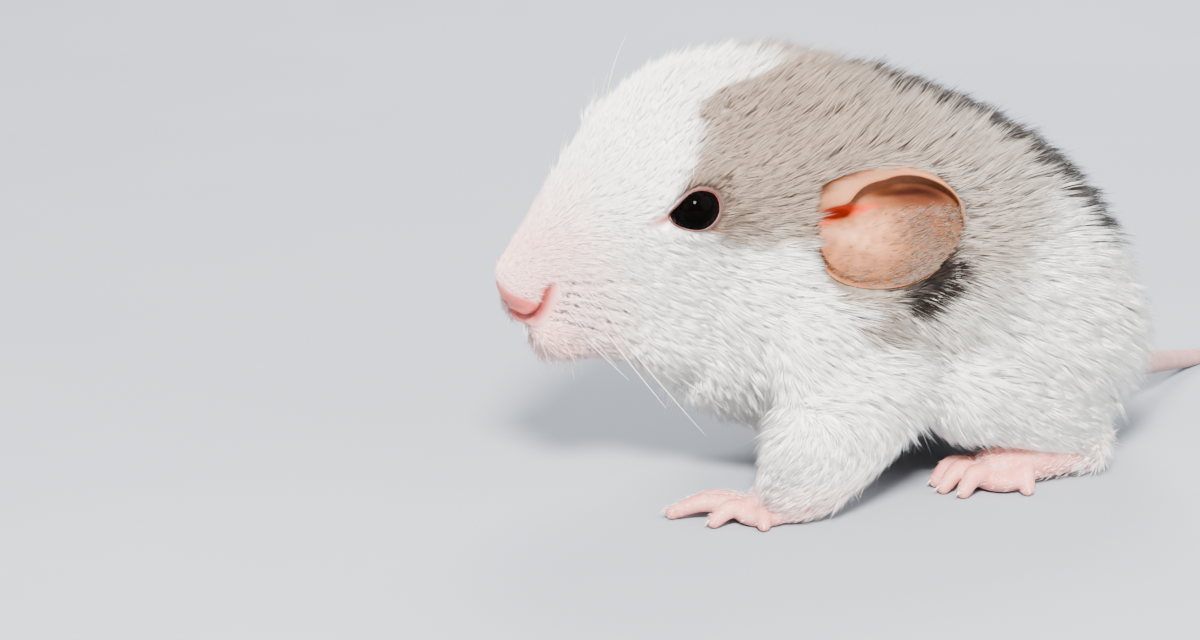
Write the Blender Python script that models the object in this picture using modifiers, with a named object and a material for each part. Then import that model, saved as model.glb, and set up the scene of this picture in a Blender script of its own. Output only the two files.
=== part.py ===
"""A young pet rat crouching on all fours, life size, as a still model.

The animal faces -X, its left side is towards -Y, and its feet and tail rest on z = 0.
Named sizes are in millimetres; MM makes them metres. The furred solids reach out to the
tips of the coat, and a fine skin and coat can later be laid inside them.
"""

import math

import bmesh
import bpy
import numpy as np
from mathutils import Matrix, Vector
from mathutils.bvhtree import BVHTree

MM = 0.001
GAP = 0.3  # kept between nodes that touch
CUTTER_SIZE = 320.0
SIDES = {"left": -1.0, "right": 1.0}

# How finely the flesh is formed before it is parted, and how many triangles each node keeps
BODY_VOXEL = 0.7
BODY_SMOOTHING = 7
FOOT_VOXEL = 0.32
FOOT_SMOOTHING = 3
BUDGET = {
    "head": 3300,
    "neck": 1800,
    "torso": 2300,
    "fore_leg": 2600,
    "hind_leg": 2300,
    "fore_foot": 480,
    "hind_foot": 560,
}

# The head, in its own frame: x runs back from the nose tip, z up from the nose tip
NOSE_TIP = (-47.2, 0.4, 29.0)
HEAD_YAW = -6.0
HEAD_PITCH = -4.0
HEAD_ROLL = 20.0
# Each station is x, top, widest height, bottom and half width
HEAD_STATIONS = (
    (0.0, 1.1, -0.6, -1.6, 1.5),
    (1.2, 2.6, -0.8, -3.0, 2.7),
    (3.0, 4.8, -1.4, -5.4, 3.8),
    (6.0, 8.6, -2.2, -8.6, 5.6),
    (9.0, 12.3, -2.4, -10.6, 7.5),
    (13.0, 16.9, -1.8, -12.0, 9.9),
    (17.0, 20.4, -0.8, -12.9, 11.9),
    (21.0, 22.5, 0.4, -13.8, 13.3),
    (26.0, 23.5, 1.6, -15.4, 14.4),
    (31.0, 23.5, 2.4, -16.6, 15.0),
    (36.0, 23.2, 3.0, -17.2, 15.2),
    (42.0, 22.0, 3.0, -17.5, 15.2),
)
HEAD_FULLNESS = 2.5
WHISKER_PAD = {"centre": (8.4, 3.6, -5.6), "radii": (5.0, 3.4, 4.2)}
CHEEK = {"centre": (24.0, 8.0, -5.6), "radii": (11.0, 6.8, 8.6)}
CHIN = {"centre": (10.8, 0.0, -10.2), "radii": (5.0, 3.5, 3.2)}

EYE_RADIUS = 3.05
EYE_CENTRE = (19.4, 9.5, 11.8)
EYE_OUTWARD = (-0.36, 0.84, 0.34)
LID_THICKNESS = 0.55
LID_CLEARANCE = 0.25
LID_POINTEDNESS = 0.34
LID_OPENING = {"back": 68.0, "height": 54.0, "front": 92.0}

# Lines carved into the face run through (x, angle) stops, the angle turning from below to the side
FACE_AXIS_HEIGHT = -2.0
NOSTRIL_STOPS = ((2.5, 26.0), (3.1, 50.0), (3.6, 76.0), (4.0, 100.0), (4.3, 124.0))
NOSTRIL_RADII = (0.42, 0.55, 0.55, 0.42, 0.2)
MOUTH_STOPS = (
    (3.3, 1.5),
    (4.5, 4.0),
    (5.6, 11.0),
    (6.9, 19.0),
    (8.3, 27.0),
    (10.0, 36.0),
    (12.0, 45.0),
)
MOUTH_RADII = (0.34, 0.38, 0.42, 0.45, 0.45, 0.42, 0.2)
PHILTRUM_STOPS = ((2.4, 0.0), (3.6, 0.0), (5.0, 0.0))
PHILTRUM_RADII = (0.2, 0.34, 0.3)
LINE_DEPTH = 0.2
LINE_START = 40.0

# The ear: a dish that opens outwards, with its upper rim rolled over
EAR_ROOT = (37.6, 12.4, 5.9)
# Directions of each ear: from its root to its far rim, and out of its open face
EAR_DIRECTIONS = {
    "left": ((0.89, -0.45, 0.08), (-0.45, -0.88, 0.15)),
    "right": ((0.80, 0.52, -0.24), (-0.52, 0.84, 0.12)),
}
EAR_CENTRE = (7.6, -0.9)
EAR_HALF_LENGTH = 8.9
EAR_HALF_HEIGHT = 7.1
EAR_CANAL = (1.6, 1.4)
EAR_DEPTH = 4.2
EAR_THICKNESS = 0.75
EAR_ROLL_RADIUS = 1.35
# The share of the way from canal to rim where the roll starts, and how far it turns, least and most
EAR_ROLL_START = 0.82
EAR_ROLL_LEAST = 25.0
EAR_ROLL_MORE = 150.0
EAR_SPREAD = 0.92
EAR_BOWL = 1.8
EAR_ROOM_SHARES = (0.06, 0.25, 0.45, 0.62)
EAR_PLUG = {"radius": 3.0, "half_depth": 2.0, "sunk": 2.4}
EAR_BRIM_ROOM = 2.7
EAR_OUTER_ROOM = 17.0
EAR_RINGS = 6
EAR_STEPS = 24

# The trunk: x, top, widest height, bottom and half width
TORSO_STATIONS = (
    (-24.0, 50.6, 30.0, 12.2, 11.0),
    (-17.0, 54.0, 29.0, 8.2, 14.8),
    (-9.0, 54.2, 27.0, 6.6, 17.4),
    (0.0, 51.8, 24.5, 5.6, 18.8),
    (8.0, 49.2, 22.0, 5.2, 20.4),
    (15.0, 46.4, 20.0, 5.2, 21.4),
    (22.5, 42.4, 18.5, 5.5, 21.4),
    (29.0, 37.4, 16.5, 5.2, 19.6),
    (34.0, 31.2, 15.5, 5.4, 16.0),
    (37.2, 24.4, 14.8, 7.2, 11.0),
    (38.9, 18.6, 14.2, 10.6, 5.0),
)
TORSO_FULLNESS = 2.35
TAIL_ROOT = {"centre": (36.5, 0.5, 9.0), "radii": (6.0, 4.6, 4.2)}

# Each limb: the left forefoot is set forward and the right one back under the chest
LIMBS = {
    "left": {
        "shoulder": {"centre": (-8.0, 13.0, 20.0), "radii": (11.0, 6.8, 13.0)},
        "haunch": {"centre": (20.0, 13.4, 16.5), "radii": (16.0, 9.2, 14.0)},
        "forearm": (
            ((-6.0, 13.6, 14.6), 9.4),
            ((-11.0, 15.8, 10.2), 8.2),
            ((-15.3, 17.3, 6.9), 6.3),
            ((-18.3, 17.6, 4.5), 4.3),
        ),
        "shank": (
            ((7.0, 17.0, 13.0), 6.8),
            ((17.0, 18.0, 9.0), 6.0),
            ((23.4, 17.4, 5.6), 4.8),
            ((24.6, 17.4, 4.2), 4.0),
        ),
        "fore_zone": {"centre": (-11.5, 19.0, 9.5), "radii": (13.4, 10.4, 17.2)},
        "hind_zone": {"centre": (17.6, 19.0, 14.5), "radii": (15.4, 9.6, 16.4)},
        "fore_shift": (0.0, 0.0, 0.0),
        "hind_shift": (0.0, 0.0, 0.0),
    },
    "right": {
        "shoulder": {"centre": (-6.0, 13.0, 20.0), "radii": (11.0, 6.8, 13.0)},
        "haunch": {"centre": (21.0, 13.4, 16.5), "radii": (16.0, 9.2, 14.0)},
        "forearm": (
            ((2.0, 13.6, 15.0), 7.6),
            ((5.2, 13.6, 10.0), 6.0),
            ((6.0, 12.6, 6.4), 5.0),
            ((4.0, 11.9, 4.2), 3.9),
        ),
        "shank": (
            ((14.0, 17.0, 13.0), 6.8),
            ((25.0, 17.6, 9.0), 6.0),
            ((31.6, 17.2, 5.6), 4.8),
            ((33.0, 17.2, 4.2), 4.0),
        ),
        "fore_zone": {"centre": (1.4, 15.5, 10.0), "radii": (9.4, 9.0, 15.5)},
        "hind_zone": {"centre": (26.4, 19.0, 14.5), "radii": (15.4, 9.6, 16.4)},
        "fore_shift": (21.5, -6.5, 0.0),
        "hind_shift": (8.6, 0.0, 0.0),
    },
}

# Planes and rounded zones that part the whole into nodes
BELLY_FLOOR = 4.6
NECK_FRONT = {"point": (-12.5, 0.0, 30.0), "normal": (-1.0, 0.0, 0.30)}
NECK_BACK = {"point": (-2.0, 0.0, 30.0), "normal": (-1.0, 0.0, 0.12)}
WRIST = {"point": (-17.0, 18.4, 3.6), "normal": (-0.86, 0.0, -0.51)}
ANKLE = {"point": (18.6, 17.6, 3.0), "normal": (-0.95, 0.0, -0.31)}

# Feet, each digit as base, knuckle and tip on the left side, with the radii there
FORE_PALM = (((-14.2, 18.2, 4.8), 3.4), ((-17.0, 17.8, 3.3), 3.0), ((-20.4, 15.8, 2.1), 2.3))
FORE_PAD = {"centre": (-20.4, 15.6, 1.3), "radii": (3.7, 3.6, 1.6)}
FORE_DIGITS = (
    ((-21.2, 13.9, 1.6), (-23.8, 10.4, 2.0), (-25.6, 7.9, 0.9)),
    ((-21.9, 14.4, 1.7), (-26.2, 11.6, 2.1), (-29.5, 9.9, 0.9)),
    ((-21.9, 15.4, 1.7), (-24.6, 15.2, 2.1), (-26.8, 15.2, 0.9)),
    ((-20.4, 16.4, 1.6), (-21.4, 17.6, 1.9), (-22.2, 19.0, 0.9)),
)
FORE_DIGIT_RADII = (1.3, 1.15, 0.85)
HIND_SOLE = (
    ((24.0, 17.4, 3.6), 3.1),
    ((19.0, 17.6, 3.6), 3.0),
    ((14.6, 17.4, 3.0), 2.9),
    ((11.4, 17.2, 2.4), 2.6),
)
HIND_PAD = {"centre": (12.0, 17.4, 1.7), "radii": (3.8, 4.3, 1.9)}
HIND_DIGITS = (
    ((14.2, 14.8, 1.6), (11.4, 12.4, 1.8), (9.2, 11.2, 0.9)),
    ((10.2, 15.4, 2.0), (7.3, 14.2, 2.6), (5.2, 14.0, 0.9)),
    ((9.9, 16.8, 2.0), (6.9, 16.6, 2.7), (4.6, 16.6, 0.9)),
    ((10.1, 18.2, 2.0), (7.6, 18.9, 2.6), (5.7, 19.3, 0.9)),
    ((14.6, 19.0, 2.2), (13.8, 20.6, 2.4), (13.2, 22.0, 0.9)),
)
HIND_DIGIT_RADII = (1.45, 1.25, 0.9)
FEET = {
    "fore": {
        "limb": (FORE_PALM,),
        "pad": FORE_PAD,
        "digits": FORE_DIGITS,
        "digit_radii": FORE_DIGIT_RADII,
        "plane": WRIST,
    },
    "hind": {
        "limb": (HIND_SOLE,),
        "pad": HIND_PAD,
        "digits": HIND_DIGITS,
        "digit_radii": HIND_DIGIT_RADII,
        "plane": ANKLE,
    },
}
ROOM_VOXEL = 0.5
ROOM_EXTRA = 0.15
ROOM_BUDGET = 360
CLAW_LENGTH = 1.5
CLAW_RADIUS = 0.42
CLAW_RISE = 0.10
CLAW_TIP_HEIGHT = 0.30

# The tail: its route over the floor, and how its thickness falls
TAIL_ROUTE = (
    (38.2, 0.6, 9.4),
    (44.0, 2.2, 7.2),
    (51.0, 6.1, 5.0),
    (56.6, 10.3, 3.4),
    (62.5, 14.2, 1.9),
    (68.0, 16.8, 1.0),
    (78.0, 19.4, 0.8),
    (88.0, 18.4, 0.62),
    (96.0, 13.8, 0.45),
    (99.6, 8.8, 0.3),
)
TAIL_RADII = (2.4, 2.0, 1.62, 1.42, 1.26, 1.1, 0.9, 0.72, 0.55, 0.4)
TAIL_PARTS = 4
TAIL_KNOB = 0.5
TAIL_ROUNDNESS = 2
TAIL_STEPS = 11

COLOURS = {
    "white_coat": ((0.86, 0.85, 0.83), 0.85),
    "hood_coat": ((0.50, 0.44, 0.40), 0.85),
    "pink_skin": ((0.83, 0.56, 0.52), 0.55),
    "ear_skin": ((0.80, 0.52, 0.40), 0.50),
    "tail_skin": ((0.70, 0.47, 0.46), 0.60),
    "eye_black": ((0.010, 0.008, 0.009), 0.05),
}


def clear_scene():
    for obj in list(bpy.data.objects):
        bpy.data.objects.remove(obj, do_unlink=True)


def material(slot):
    """The finish of one slot: a plain Principled surface."""
    found = bpy.data.materials.get(slot)
    if found:
        return found
    colour, roughness = COLOURS[slot]
    made = bpy.data.materials.new(slot)
    made.use_nodes = True
    shader = made.node_tree.nodes["Principled BSDF"]
    shader.inputs["Base Color"].default_value = (*colour, 1.0)
    shader.inputs["Roughness"].default_value = roughness
    shader.inputs["Metallic"].default_value = 0.0
    return made


def collection(name):
    made = bpy.data.collections.new(name)
    bpy.context.scene.collection.children.link(made)
    return made


def new_object(name, mesh, home):
    obj = bpy.data.objects.new(name, mesh)
    home.objects.link(obj)
    return obj


def side_point(point, side):
    """A point given for the right side, in metres on the side asked for."""
    return Vector((point[0], point[1] * side, point[2])) * MM


def head_pose():
    """Head frame to world, in metres."""
    turn = Matrix.Rotation(math.radians(-HEAD_YAW), 4, "Z")
    pitch = Matrix.Rotation(math.radians(HEAD_PITCH), 4, "Y")
    roll = Matrix.Rotation(math.radians(HEAD_ROLL), 4, "X")
    return Matrix.Translation(Vector(NOSE_TIP) * MM) @ turn @ pitch @ roll


def smooth_rows(rows, count):
    """Catmull-Rom values through rows of numbers, spaced evenly by row."""
    rows = np.array(rows, float)
    padded = np.vstack([2 * rows[0] - rows[1], rows, 2 * rows[-1] - rows[-2]])
    at = np.linspace(0, len(rows) - 1, count)
    first = np.minimum(at.astype(int), len(rows) - 2)
    t = (at - first)[:, None]
    a, b, c, d = (padded[first + k] for k in range(4))
    square = 2 * a - 5 * b + 4 * c - d
    cube = 3 * b - a - 3 * c + d
    return 0.5 * (2 * b + (c - a) * t + square * t**2 + cube * t**3)


def mesh_of(name, points, faces):
    mesh = bpy.data.meshes.new(name)
    mesh.from_pydata([tuple(p) for p in points], [], [tuple(int(i) for i in f) for f in faces])
    mesh.validate()
    return mesh


def closed_rings(rings):
    """Points and faces of a body through rings of equal length, closed by a point at each end."""
    count = len(rings[0])
    points = [rings[0].mean(0)] + [p for ring in rings for p in ring] + [rings[-1].mean(0)]
    faces = []
    for k in range(count):
        after = (k + 1) % count
        faces.append((0, 1 + after, 1 + k))
        for r in range(len(rings) - 1):
            low, high = 1 + r * count, 1 + (r + 1) * count
            faces.append((low + k, low + after, high + after, high + k))
        last = 1 + (len(rings) - 1) * count
        faces.append((last + k, last + after, len(points) - 1))
    return points, faces


def outward(mesh):
    """Turns every face of a closed mesh out."""
    work = bmesh.new()
    work.from_mesh(mesh)
    bmesh.ops.recalc_face_normals(work, faces=work.faces)
    work.to_mesh(mesh)
    work.free()
    return mesh


def station_loft(name, stations, fullness, home, pose=None, ring=32, steps=40):
    """A body through upright sections that are wider below the middle than above it."""
    angles = np.linspace(0, 2 * math.pi, ring, endpoint=False)
    across = np.sign(np.sin(angles)) * np.abs(np.sin(angles)) ** (2 / fullness)
    upward = np.sign(np.cos(angles)) * np.abs(np.cos(angles)) ** (2 / fullness)
    rings = []
    for x, top, waist, bottom, half in smooth_rows(stations, steps):
        height = np.where(upward > 0, upward * (top - waist), upward * (waist - bottom))
        rings.append(np.stack([np.full(ring, x), across * half, waist + height], 1) * MM)
    obj = new_object(name, outward(mesh_of(name, *closed_rings(rings))), home)
    if pose:
        obj.data.transform(pose)
    return obj


def ball(name, centre, radii, home, pose=None, segments=28, rings=18):
    """An ellipsoid. Centre and radii are in millimetres."""
    mesh = bpy.data.meshes.new(name)
    work = bmesh.new()
    bmesh.ops.create_uvsphere(work, u_segments=segments, v_segments=rings, radius=1.0)
    work.to_mesh(mesh)
    work.free()
    place = Matrix.Translation(Vector(centre) * MM) @ Matrix.Diagonal((*[r * MM for r in radii], 1.0))
    mesh.transform((pose or Matrix()) @ place)
    return new_object(name, outward(mesh), home)


def paired_ball(name, form, home, pose=None):
    for side_name, side in SIDES.items():
        x, y, z = form["centre"]
        ball(f"{name}_{side_name}", (x, y * side, z), form["radii"], home, pose)


def tube(name, points, radii, home, resolution=3, samples=None, pose=None):
    """A tapered tube along a smooth route, as a closed mesh. Points are in metres, radii in millimetres."""
    rows = [(*p, r * MM) for p, r in zip(points, radii)]
    if samples:
        rows = smooth_rows(rows, samples)
    curve = bpy.data.curves.new(name, "CURVE")
    curve.dimensions = "3D"
    curve.bevel_depth = 1.0
    curve.bevel_resolution = resolution
    curve.use_fill_caps = True
    spline = curve.splines.new("POLY")
    spline.points.add(len(rows) - 1)
    for point, row in zip(spline.points, rows):
        point.co = (*row[:3], 1.0)
        point.radius = row[3]
    guide = new_object(name + "_route", curve, home)
    bpy.context.view_layer.update()
    mesh = bpy.data.meshes.new_from_object(guide.evaluated_get(bpy.context.evaluated_depsgraph_get()))
    bpy.data.objects.remove(guide, do_unlink=True)
    work = bmesh.new()
    work.from_mesh(mesh)
    bmesh.ops.remove_doubles(work, verts=work.verts, dist=0.002 * MM)
    bmesh.ops.recalc_face_normals(work, faces=work.faces)
    work.to_mesh(mesh)
    work.free()
    if pose:
        mesh.transform(pose)
    return new_object(name, mesh, home)


def rounded_tube(name, stops, side, home, samples=12):
    """A limb through (point, radius) stops, with a ball at each end so that it blends."""
    points = [side_point(p, side) for p, _ in stops]
    radii = [r for _, r in stops]
    tube(name, points, radii, home, samples=samples)
    for end in (0, -1):
        x, y, z = stops[end][0]
        ball(f"{name}_end{end}", (x, y * side, z), (radii[end],) * 3, home, segments=16, rings=10)


def evaluated_mesh(obj):
    bpy.context.view_layer.update()
    return bpy.data.meshes.new_from_object(obj.evaluated_get(bpy.context.evaluated_depsgraph_get()))


def apply_all(obj):
    """Replaces the object's mesh by its evaluated one and drops the modifiers."""
    mesh = evaluated_mesh(obj)
    obj.modifiers.clear()
    obj.data = mesh
    return obj


def fused(name, pieces, home, voxel, smoothing):
    """One smooth closed mesh from overlapping closed pieces, which are removed."""
    work = bmesh.new()
    for piece in list(pieces.objects):
        work.from_mesh(piece.data)
        bpy.data.objects.remove(piece, do_unlink=True)
    mesh = bpy.data.meshes.new(name)
    work.to_mesh(mesh)
    work.free()
    obj = new_object(name, mesh, home)
    remesh = obj.modifiers.new("form", "REMESH")
    remesh.mode = "VOXEL"
    remesh.voxel_size = voxel * MM
    smooth = obj.modifiers.new("soften", "SMOOTH")
    smooth.factor = 0.5
    smooth.iterations = smoothing
    return apply_all(obj)


def thinned(obj, triangles):
    """Brings the mesh down to about this many triangles."""
    obj.data.calc_loop_triangles()
    decimate = obj.modifiers.new("thin", "DECIMATE")
    decimate.ratio = min(1.0, triangles / len(obj.data.loop_triangles))
    decimate.use_collapse_triangulate = True
    return apply_all(obj)


def cut(obj, cutter, operation="DIFFERENCE"):
    boolean = obj.modifiers.new("cut", "BOOLEAN")
    boolean.operation = operation
    boolean.solver = "EXACT"
    boolean.object = cutter
    return apply_all(obj)


def joined(obj, pieces):
    """Joins a collection's closed meshes to the object in one union, and removes them."""
    union = obj.modifiers.new("join", "BOOLEAN")
    union.operation = "UNION"
    union.solver = "EXACT"
    union.operand_type = "COLLECTION"
    union.collection = pieces
    apply_all(obj)
    for piece in list(pieces.objects):
        bpy.data.objects.remove(piece, do_unlink=True)
    bpy.data.collections.remove(pieces)
    return obj


def keep_largest(obj):
    """Keeps only the largest closed surface of the mesh."""
    work = bmesh.new()
    work.from_mesh(obj.data)
    bmesh.ops.remove_doubles(work, verts=work.verts, dist=0.004 * MM)
    left, groups = set(work.verts), []
    while left:
        seed = left.pop()
        group, edge = {seed}, [seed]
        while edge:
            for link in edge.pop().link_edges:
                for vert in link.verts:
                    if vert in left:
                        left.discard(vert)
                        group.add(vert)
                        edge.append(vert)
        groups.append(group)
    largest = max(groups, key=len)
    bmesh.ops.delete(work, geom=[v for v in work.verts if v not in largest], context="VERTS")
    work.to_mesh(obj.data)
    work.free()
    return obj


def half_space(name, plane, home, shift=0.0, side=1.0):
    """A large block whose face lies on the plane, moved along the normal by shift; it fills that side."""
    x, y, z = plane["point"]
    normal = Vector(plane["normal"]).normalized()
    normal = Vector((normal.x, normal.y * side, normal.z))
    size = CUTTER_SIZE * MM
    mesh = bpy.data.meshes.new(name)
    work = bmesh.new()
    bmesh.ops.create_cube(work, size=size)
    work.to_mesh(mesh)
    work.free()
    centre = Vector((x, y * side, z)) * MM + normal * (size / 2 + shift * MM)
    mesh.transform(Matrix.Translation(centre) @ normal.to_track_quat("Z", "Y").to_matrix().to_4x4())
    return hidden(new_object(name, mesh, home))


def hidden(obj):
    obj.hide_render = True
    obj.display_type = "WIRE"
    return obj


def zone(name, form, side, home, grow=0.0):
    """A rounded cutter on one side of the body, grown by a few tenths of a millimetre."""
    x, y, z = form["centre"]
    radii = [r + grow for r in form["radii"]]
    return hidden(ball(name, (x, y * side, z), radii, home, segments=26, rings=16))


def copy_of(source, name, home):
    return new_object(name, source.data.copy(), home)


def finished(obj, name, slot, home):
    """Names the node, gives it its material, smooths its shading and moves it to the animal's collection."""
    keep_largest(obj)
    obj.name = name
    obj.data.name = name
    obj.data.materials.clear()
    obj.data.materials.append(material(slot))
    obj.data.shade_smooth()
    obj.data.set_sharp_from_angle(angle=math.radians(50))
    if home not in obj.users_collection:
        for old in obj.users_collection:
            old.objects.unlink(obj)
        home.objects.link(obj)
    return obj


def whole_flesh(home):
    """The whole furred body, from nose to rump and down to the wrists and ankles, as one fine mesh."""
    masses = collection("masses")
    pose = head_pose()
    station_loft("head_mass", HEAD_STATIONS, HEAD_FULLNESS, masses, pose, steps=46)
    paired_ball("whisker_pad", WHISKER_PAD, masses, pose)
    paired_ball("cheek", CHEEK, masses, pose)
    ball("chin", CHIN["centre"], CHIN["radii"], masses, pose)
    station_loft("trunk_mass", TORSO_STATIONS, TORSO_FULLNESS, masses, steps=44)
    ball("tail_root", TAIL_ROOT["centre"], TAIL_ROOT["radii"], masses)
    for side_name, side in SIDES.items():
        limb = LIMBS[side_name]
        for part in ("shoulder", "haunch"):
            x, y, z = limb[part]["centre"]
            ball(f"{part}_{side_name}", (x, y * side, z), limb[part]["radii"], masses)
        for part in ("forearm", "shank"):
            rounded_tube(f"{part}_{side_name}", limb[part], side, masses)
    whole = fused("whole", masses, home, BODY_VOXEL, BODY_SMOOTHING)
    bpy.data.collections.remove(masses)
    return hidden(whole)


def eye_axes(side):
    """The eye's centre and its outward, forward and upward directions, in the head frame."""
    centre = side_point(EYE_CENTRE, side)
    out = Vector((EYE_OUTWARD[0], EYE_OUTWARD[1] * side, EYE_OUTWARD[2])).normalized()
    forward = (Vector((-1, 0, -0.30)) - out * out.dot(Vector((-1, 0, -0.30)))).normalized()
    up = out.cross(forward) * -side
    return centre, out, forward, up


def eye(name, side, home):
    centre, _, _, _ = eye_axes(side)
    obj = ball(name, head_pose() @ centre / MM, (EYE_RADIUS,) * 3, home, segments=18, rings=10)
    return finished(obj, name, "eye_black", home)


def lid_points(side, steps=20):
    """The rim of the lids: an almond on the eyeball with its point at the front corner."""
    centre, out, forward, up = eye_axes(side)
    reach = (EYE_RADIUS + GAP + LID_CLEARANCE) * MM
    points = []
    for k in range(steps):
        a = 2 * math.pi * k / steps
        ahead, high = math.cos(a), math.sin(a)
        length = LID_OPENING["front"] if ahead > 0 else LID_OPENING["back"]
        sharpen = 1.0 - LID_POINTEDNESS * max(0.0, ahead) ** 1.5
        angle = math.radians(math.hypot(length * ahead, LID_OPENING["height"] * high * sharpen))
        around = math.atan2(LID_OPENING["height"] * high * sharpen, length * ahead)
        across = forward * math.cos(around) + up * math.sin(around)
        points.append(centre + (out * math.cos(angle) + across * math.sin(angle)) * reach)
    return points


def closed_tube(name, points, radius, home, sides=6, pose=None):
    """A ring-shaped tube through a closed loop of points."""
    points = [np.array(p) for p in points]
    middle = np.mean(points, axis=0)
    count = len(points)
    verts, faces = [], []
    for k, point in enumerate(points):
        along = points[(k + 1) % count] - points[k - 1]
        along /= np.linalg.norm(along)
        away = point - middle
        away -= along * away.dot(along)
        away /= np.linalg.norm(away)
        third = np.cross(along, away)
        for s in range(sides):
            a = 2 * math.pi * s / sides
            verts.append(point + (away * math.cos(a) + third * math.sin(a)) * radius * MM)
            after, turn = (k + 1) % count, (s + 1) % sides
            faces.append((k * sides + s, k * sides + turn, after * sides + turn, after * sides + s))
    mesh = outward(mesh_of(name, verts, faces))
    if pose:
        mesh.transform(pose)
    return new_object(name, mesh, home)


def ear_frame(side_name):
    """Ear frame to world: x runs from root to far rim, y up along the ear, z out of its open face."""
    along, open_side = (Vector(d).normalized() for d in EAR_DIRECTIONS[side_name])
    open_side = (open_side - along * along.dot(open_side)).normalized()
    high = open_side.cross(along)
    high = high if high.z > 0 else -high
    frame = Matrix((along, high, open_side)).transposed().to_4x4()
    root = head_pose() @ side_point(EAR_ROOT, SIDES[side_name])
    return Matrix.Translation(root) @ frame


def ear_point(angle, share, back=0.0, widen=0.0):
    """A point of the dish: angle goes round the rim, share runs from the canal (0) to the rim (1)."""
    rim_x = EAR_CENTRE[0] + (EAR_HALF_LENGTH + widen) * math.cos(angle)
    rim_y = EAR_CENTRE[1] + (EAR_HALF_HEIGHT + widen) * math.sin(angle)
    # The roll is strongest along the upper rim and fades out below
    rolled = max(0.0, math.sin(angle * 0.94 + 0.10)) ** 0.8
    flat = min(share / EAR_ROLL_START, 1.0)
    x = EAR_CANAL[0] + (rim_x - EAR_CANAL[0]) * flat**EAR_SPREAD
    y = EAR_CANAL[1] + (rim_y - EAR_CANAL[1]) * flat**EAR_SPREAD
    depth = -EAR_DEPTH * (1.0 - flat**EAR_BOWL) - back
    beyond = max(0.0, share - EAR_ROLL_START) / (1.0 - EAR_ROLL_START)
    if beyond > 0.0 and not back:
        away = Vector((rim_x - EAR_CENTRE[0], rim_y - EAR_CENTRE[1])).normalized()
        turn = beyond * math.radians(EAR_ROLL_LEAST + EAR_ROLL_MORE * rolled)
        radius = EAR_ROLL_RADIUS * (0.5 + 0.7 * rolled)
        x += away.x * radius * math.sin(turn)
        y += away.y * radius * math.sin(turn)
        depth += radius * (1 - math.cos(turn))
    return Vector((x, y, depth)) * MM


def ear(name, side_name, home):
    """A thin dish with a rolled upper rim, on a short plug that sits in the head."""
    angles = [2 * math.pi * k / EAR_STEPS for k in range(EAR_STEPS)]
    points = [ear_point(0.0, 0.0)]
    points += [ear_point(a, (r + 1) / EAR_RINGS) for r in range(EAR_RINGS) for a in angles]
    faces = []
    for k in range(EAR_STEPS):
        after = (k + 1) % EAR_STEPS
        faces.append((0, 1 + k, 1 + after))
        for r in range(EAR_RINGS - 1):
            low, high = 1 + r * EAR_STEPS, 1 + (r + 1) * EAR_STEPS
            faces.append((low + k, high + k, high + after, low + after))
    obj = new_object(name, mesh_of(name, points, faces), home)
    shell = obj.modifiers.new("thickness", "SOLIDIFY")
    shell.thickness = EAR_THICKNESS * MM
    shell.offset = -1.0
    apply_all(obj)
    outward(obj.data)
    frame = ear_frame(side_name)
    obj.data.transform(frame)
    outward(obj.data)
    roots = collection("ear_root")
    ear_plug(name + "_plug", frame, roots)
    joined(obj, roots)
    return finished(obj, name, "ear_skin", home)


def ear_plug(name, frame, home, grow=0.0):
    """The short round root of the ear, sunk in the head."""
    radius, half = EAR_PLUG["radius"] + grow, EAR_PLUG["half_depth"] + grow
    centre = (*EAR_CANAL, -EAR_DEPTH - EAR_PLUG["sunk"])
    return ball(name, centre, (radius, radius, half), home, frame, 14, 8)


def ear_clearance(name, frame, home):
    """The room the ear takes: the dish pushed back by its thickness and a gap, and filled out past the coat."""
    angles = [2 * math.pi * k / EAR_STEPS for k in range(EAR_STEPS)]
    rings = []
    for share in EAR_ROOM_SHARES:
        rings.append(np.array([ear_point(a, share, EAR_THICKNESS + GAP, 0.5 + GAP) for a in angles]))
    brim = [ear_point(a, EAR_ROLL_START, EAR_THICKNESS + GAP, EAR_BRIM_ROOM) for a in angles]
    rings.append(np.array(brim))
    rings.append(rings[-1] + np.array([0.0, 0.0, EAR_OUTER_ROOM * MM]))
    obj = new_object(name, outward(mesh_of(name, *closed_rings(rings))), home)
    obj.data.transform(frame)
    outward(obj.data)
    return hidden(obj)


def make_ear_room(obj, cutters):
    """Frees the space of both ears and of their roots."""
    for side_name in SIDES:
        frame = ear_frame(side_name)
        cut(obj, ear_clearance(f"ear_room_{side_name}", frame, cutters))
        cut(obj, hidden(ear_plug(f"ear_socket_{side_name}", frame, cutters, GAP)))


def digit(name, stops, radii, side, home):
    """A toe through its base, knuckle and tip."""
    rounded_tube(name, list(zip(stops, radii)), side, home, samples=7)


def claw(name, stops, side, home):
    """A short curved spike from a toe's tip, bent down towards the floor."""
    knuckle, tip = side_point(stops[1], side), side_point(stops[2], side)
    ahead = (tip - knuckle).normalized()
    ahead.z = 0.0
    ahead.normalize()
    start = tip + Vector((0, 0, CLAW_RISE * MM))
    middle = start + ahead * (0.75 * CLAW_LENGTH * MM) + Vector((0, 0, CLAW_RISE / 2 * MM))
    end = start + ahead * ((0.5 + CLAW_LENGTH) * MM)
    end.z = CLAW_TIP_HEIGHT * MM
    radii = (CLAW_RADIUS, 0.75 * CLAW_RADIUS, 0.4 * CLAW_RADIUS)
    tube(name, [start, middle, end], radii, home, 1, samples=4)


def on_floor(obj, cutters):
    """Cuts a foot or tail flat at the floor."""
    floor = half_space("floor_cut", {"point": (0, 0, 0), "normal": (0, 0, -1)}, cutters)
    return cut(obj, floor)


def shifted(stops, shift):
    """Moves a point, or rows of points, by a shift."""
    if isinstance(stops[0], float):
        return tuple(a + b for a, b in zip(stops, shift))
    return tuple(shifted(stop, shift) for stop in stops)


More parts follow.
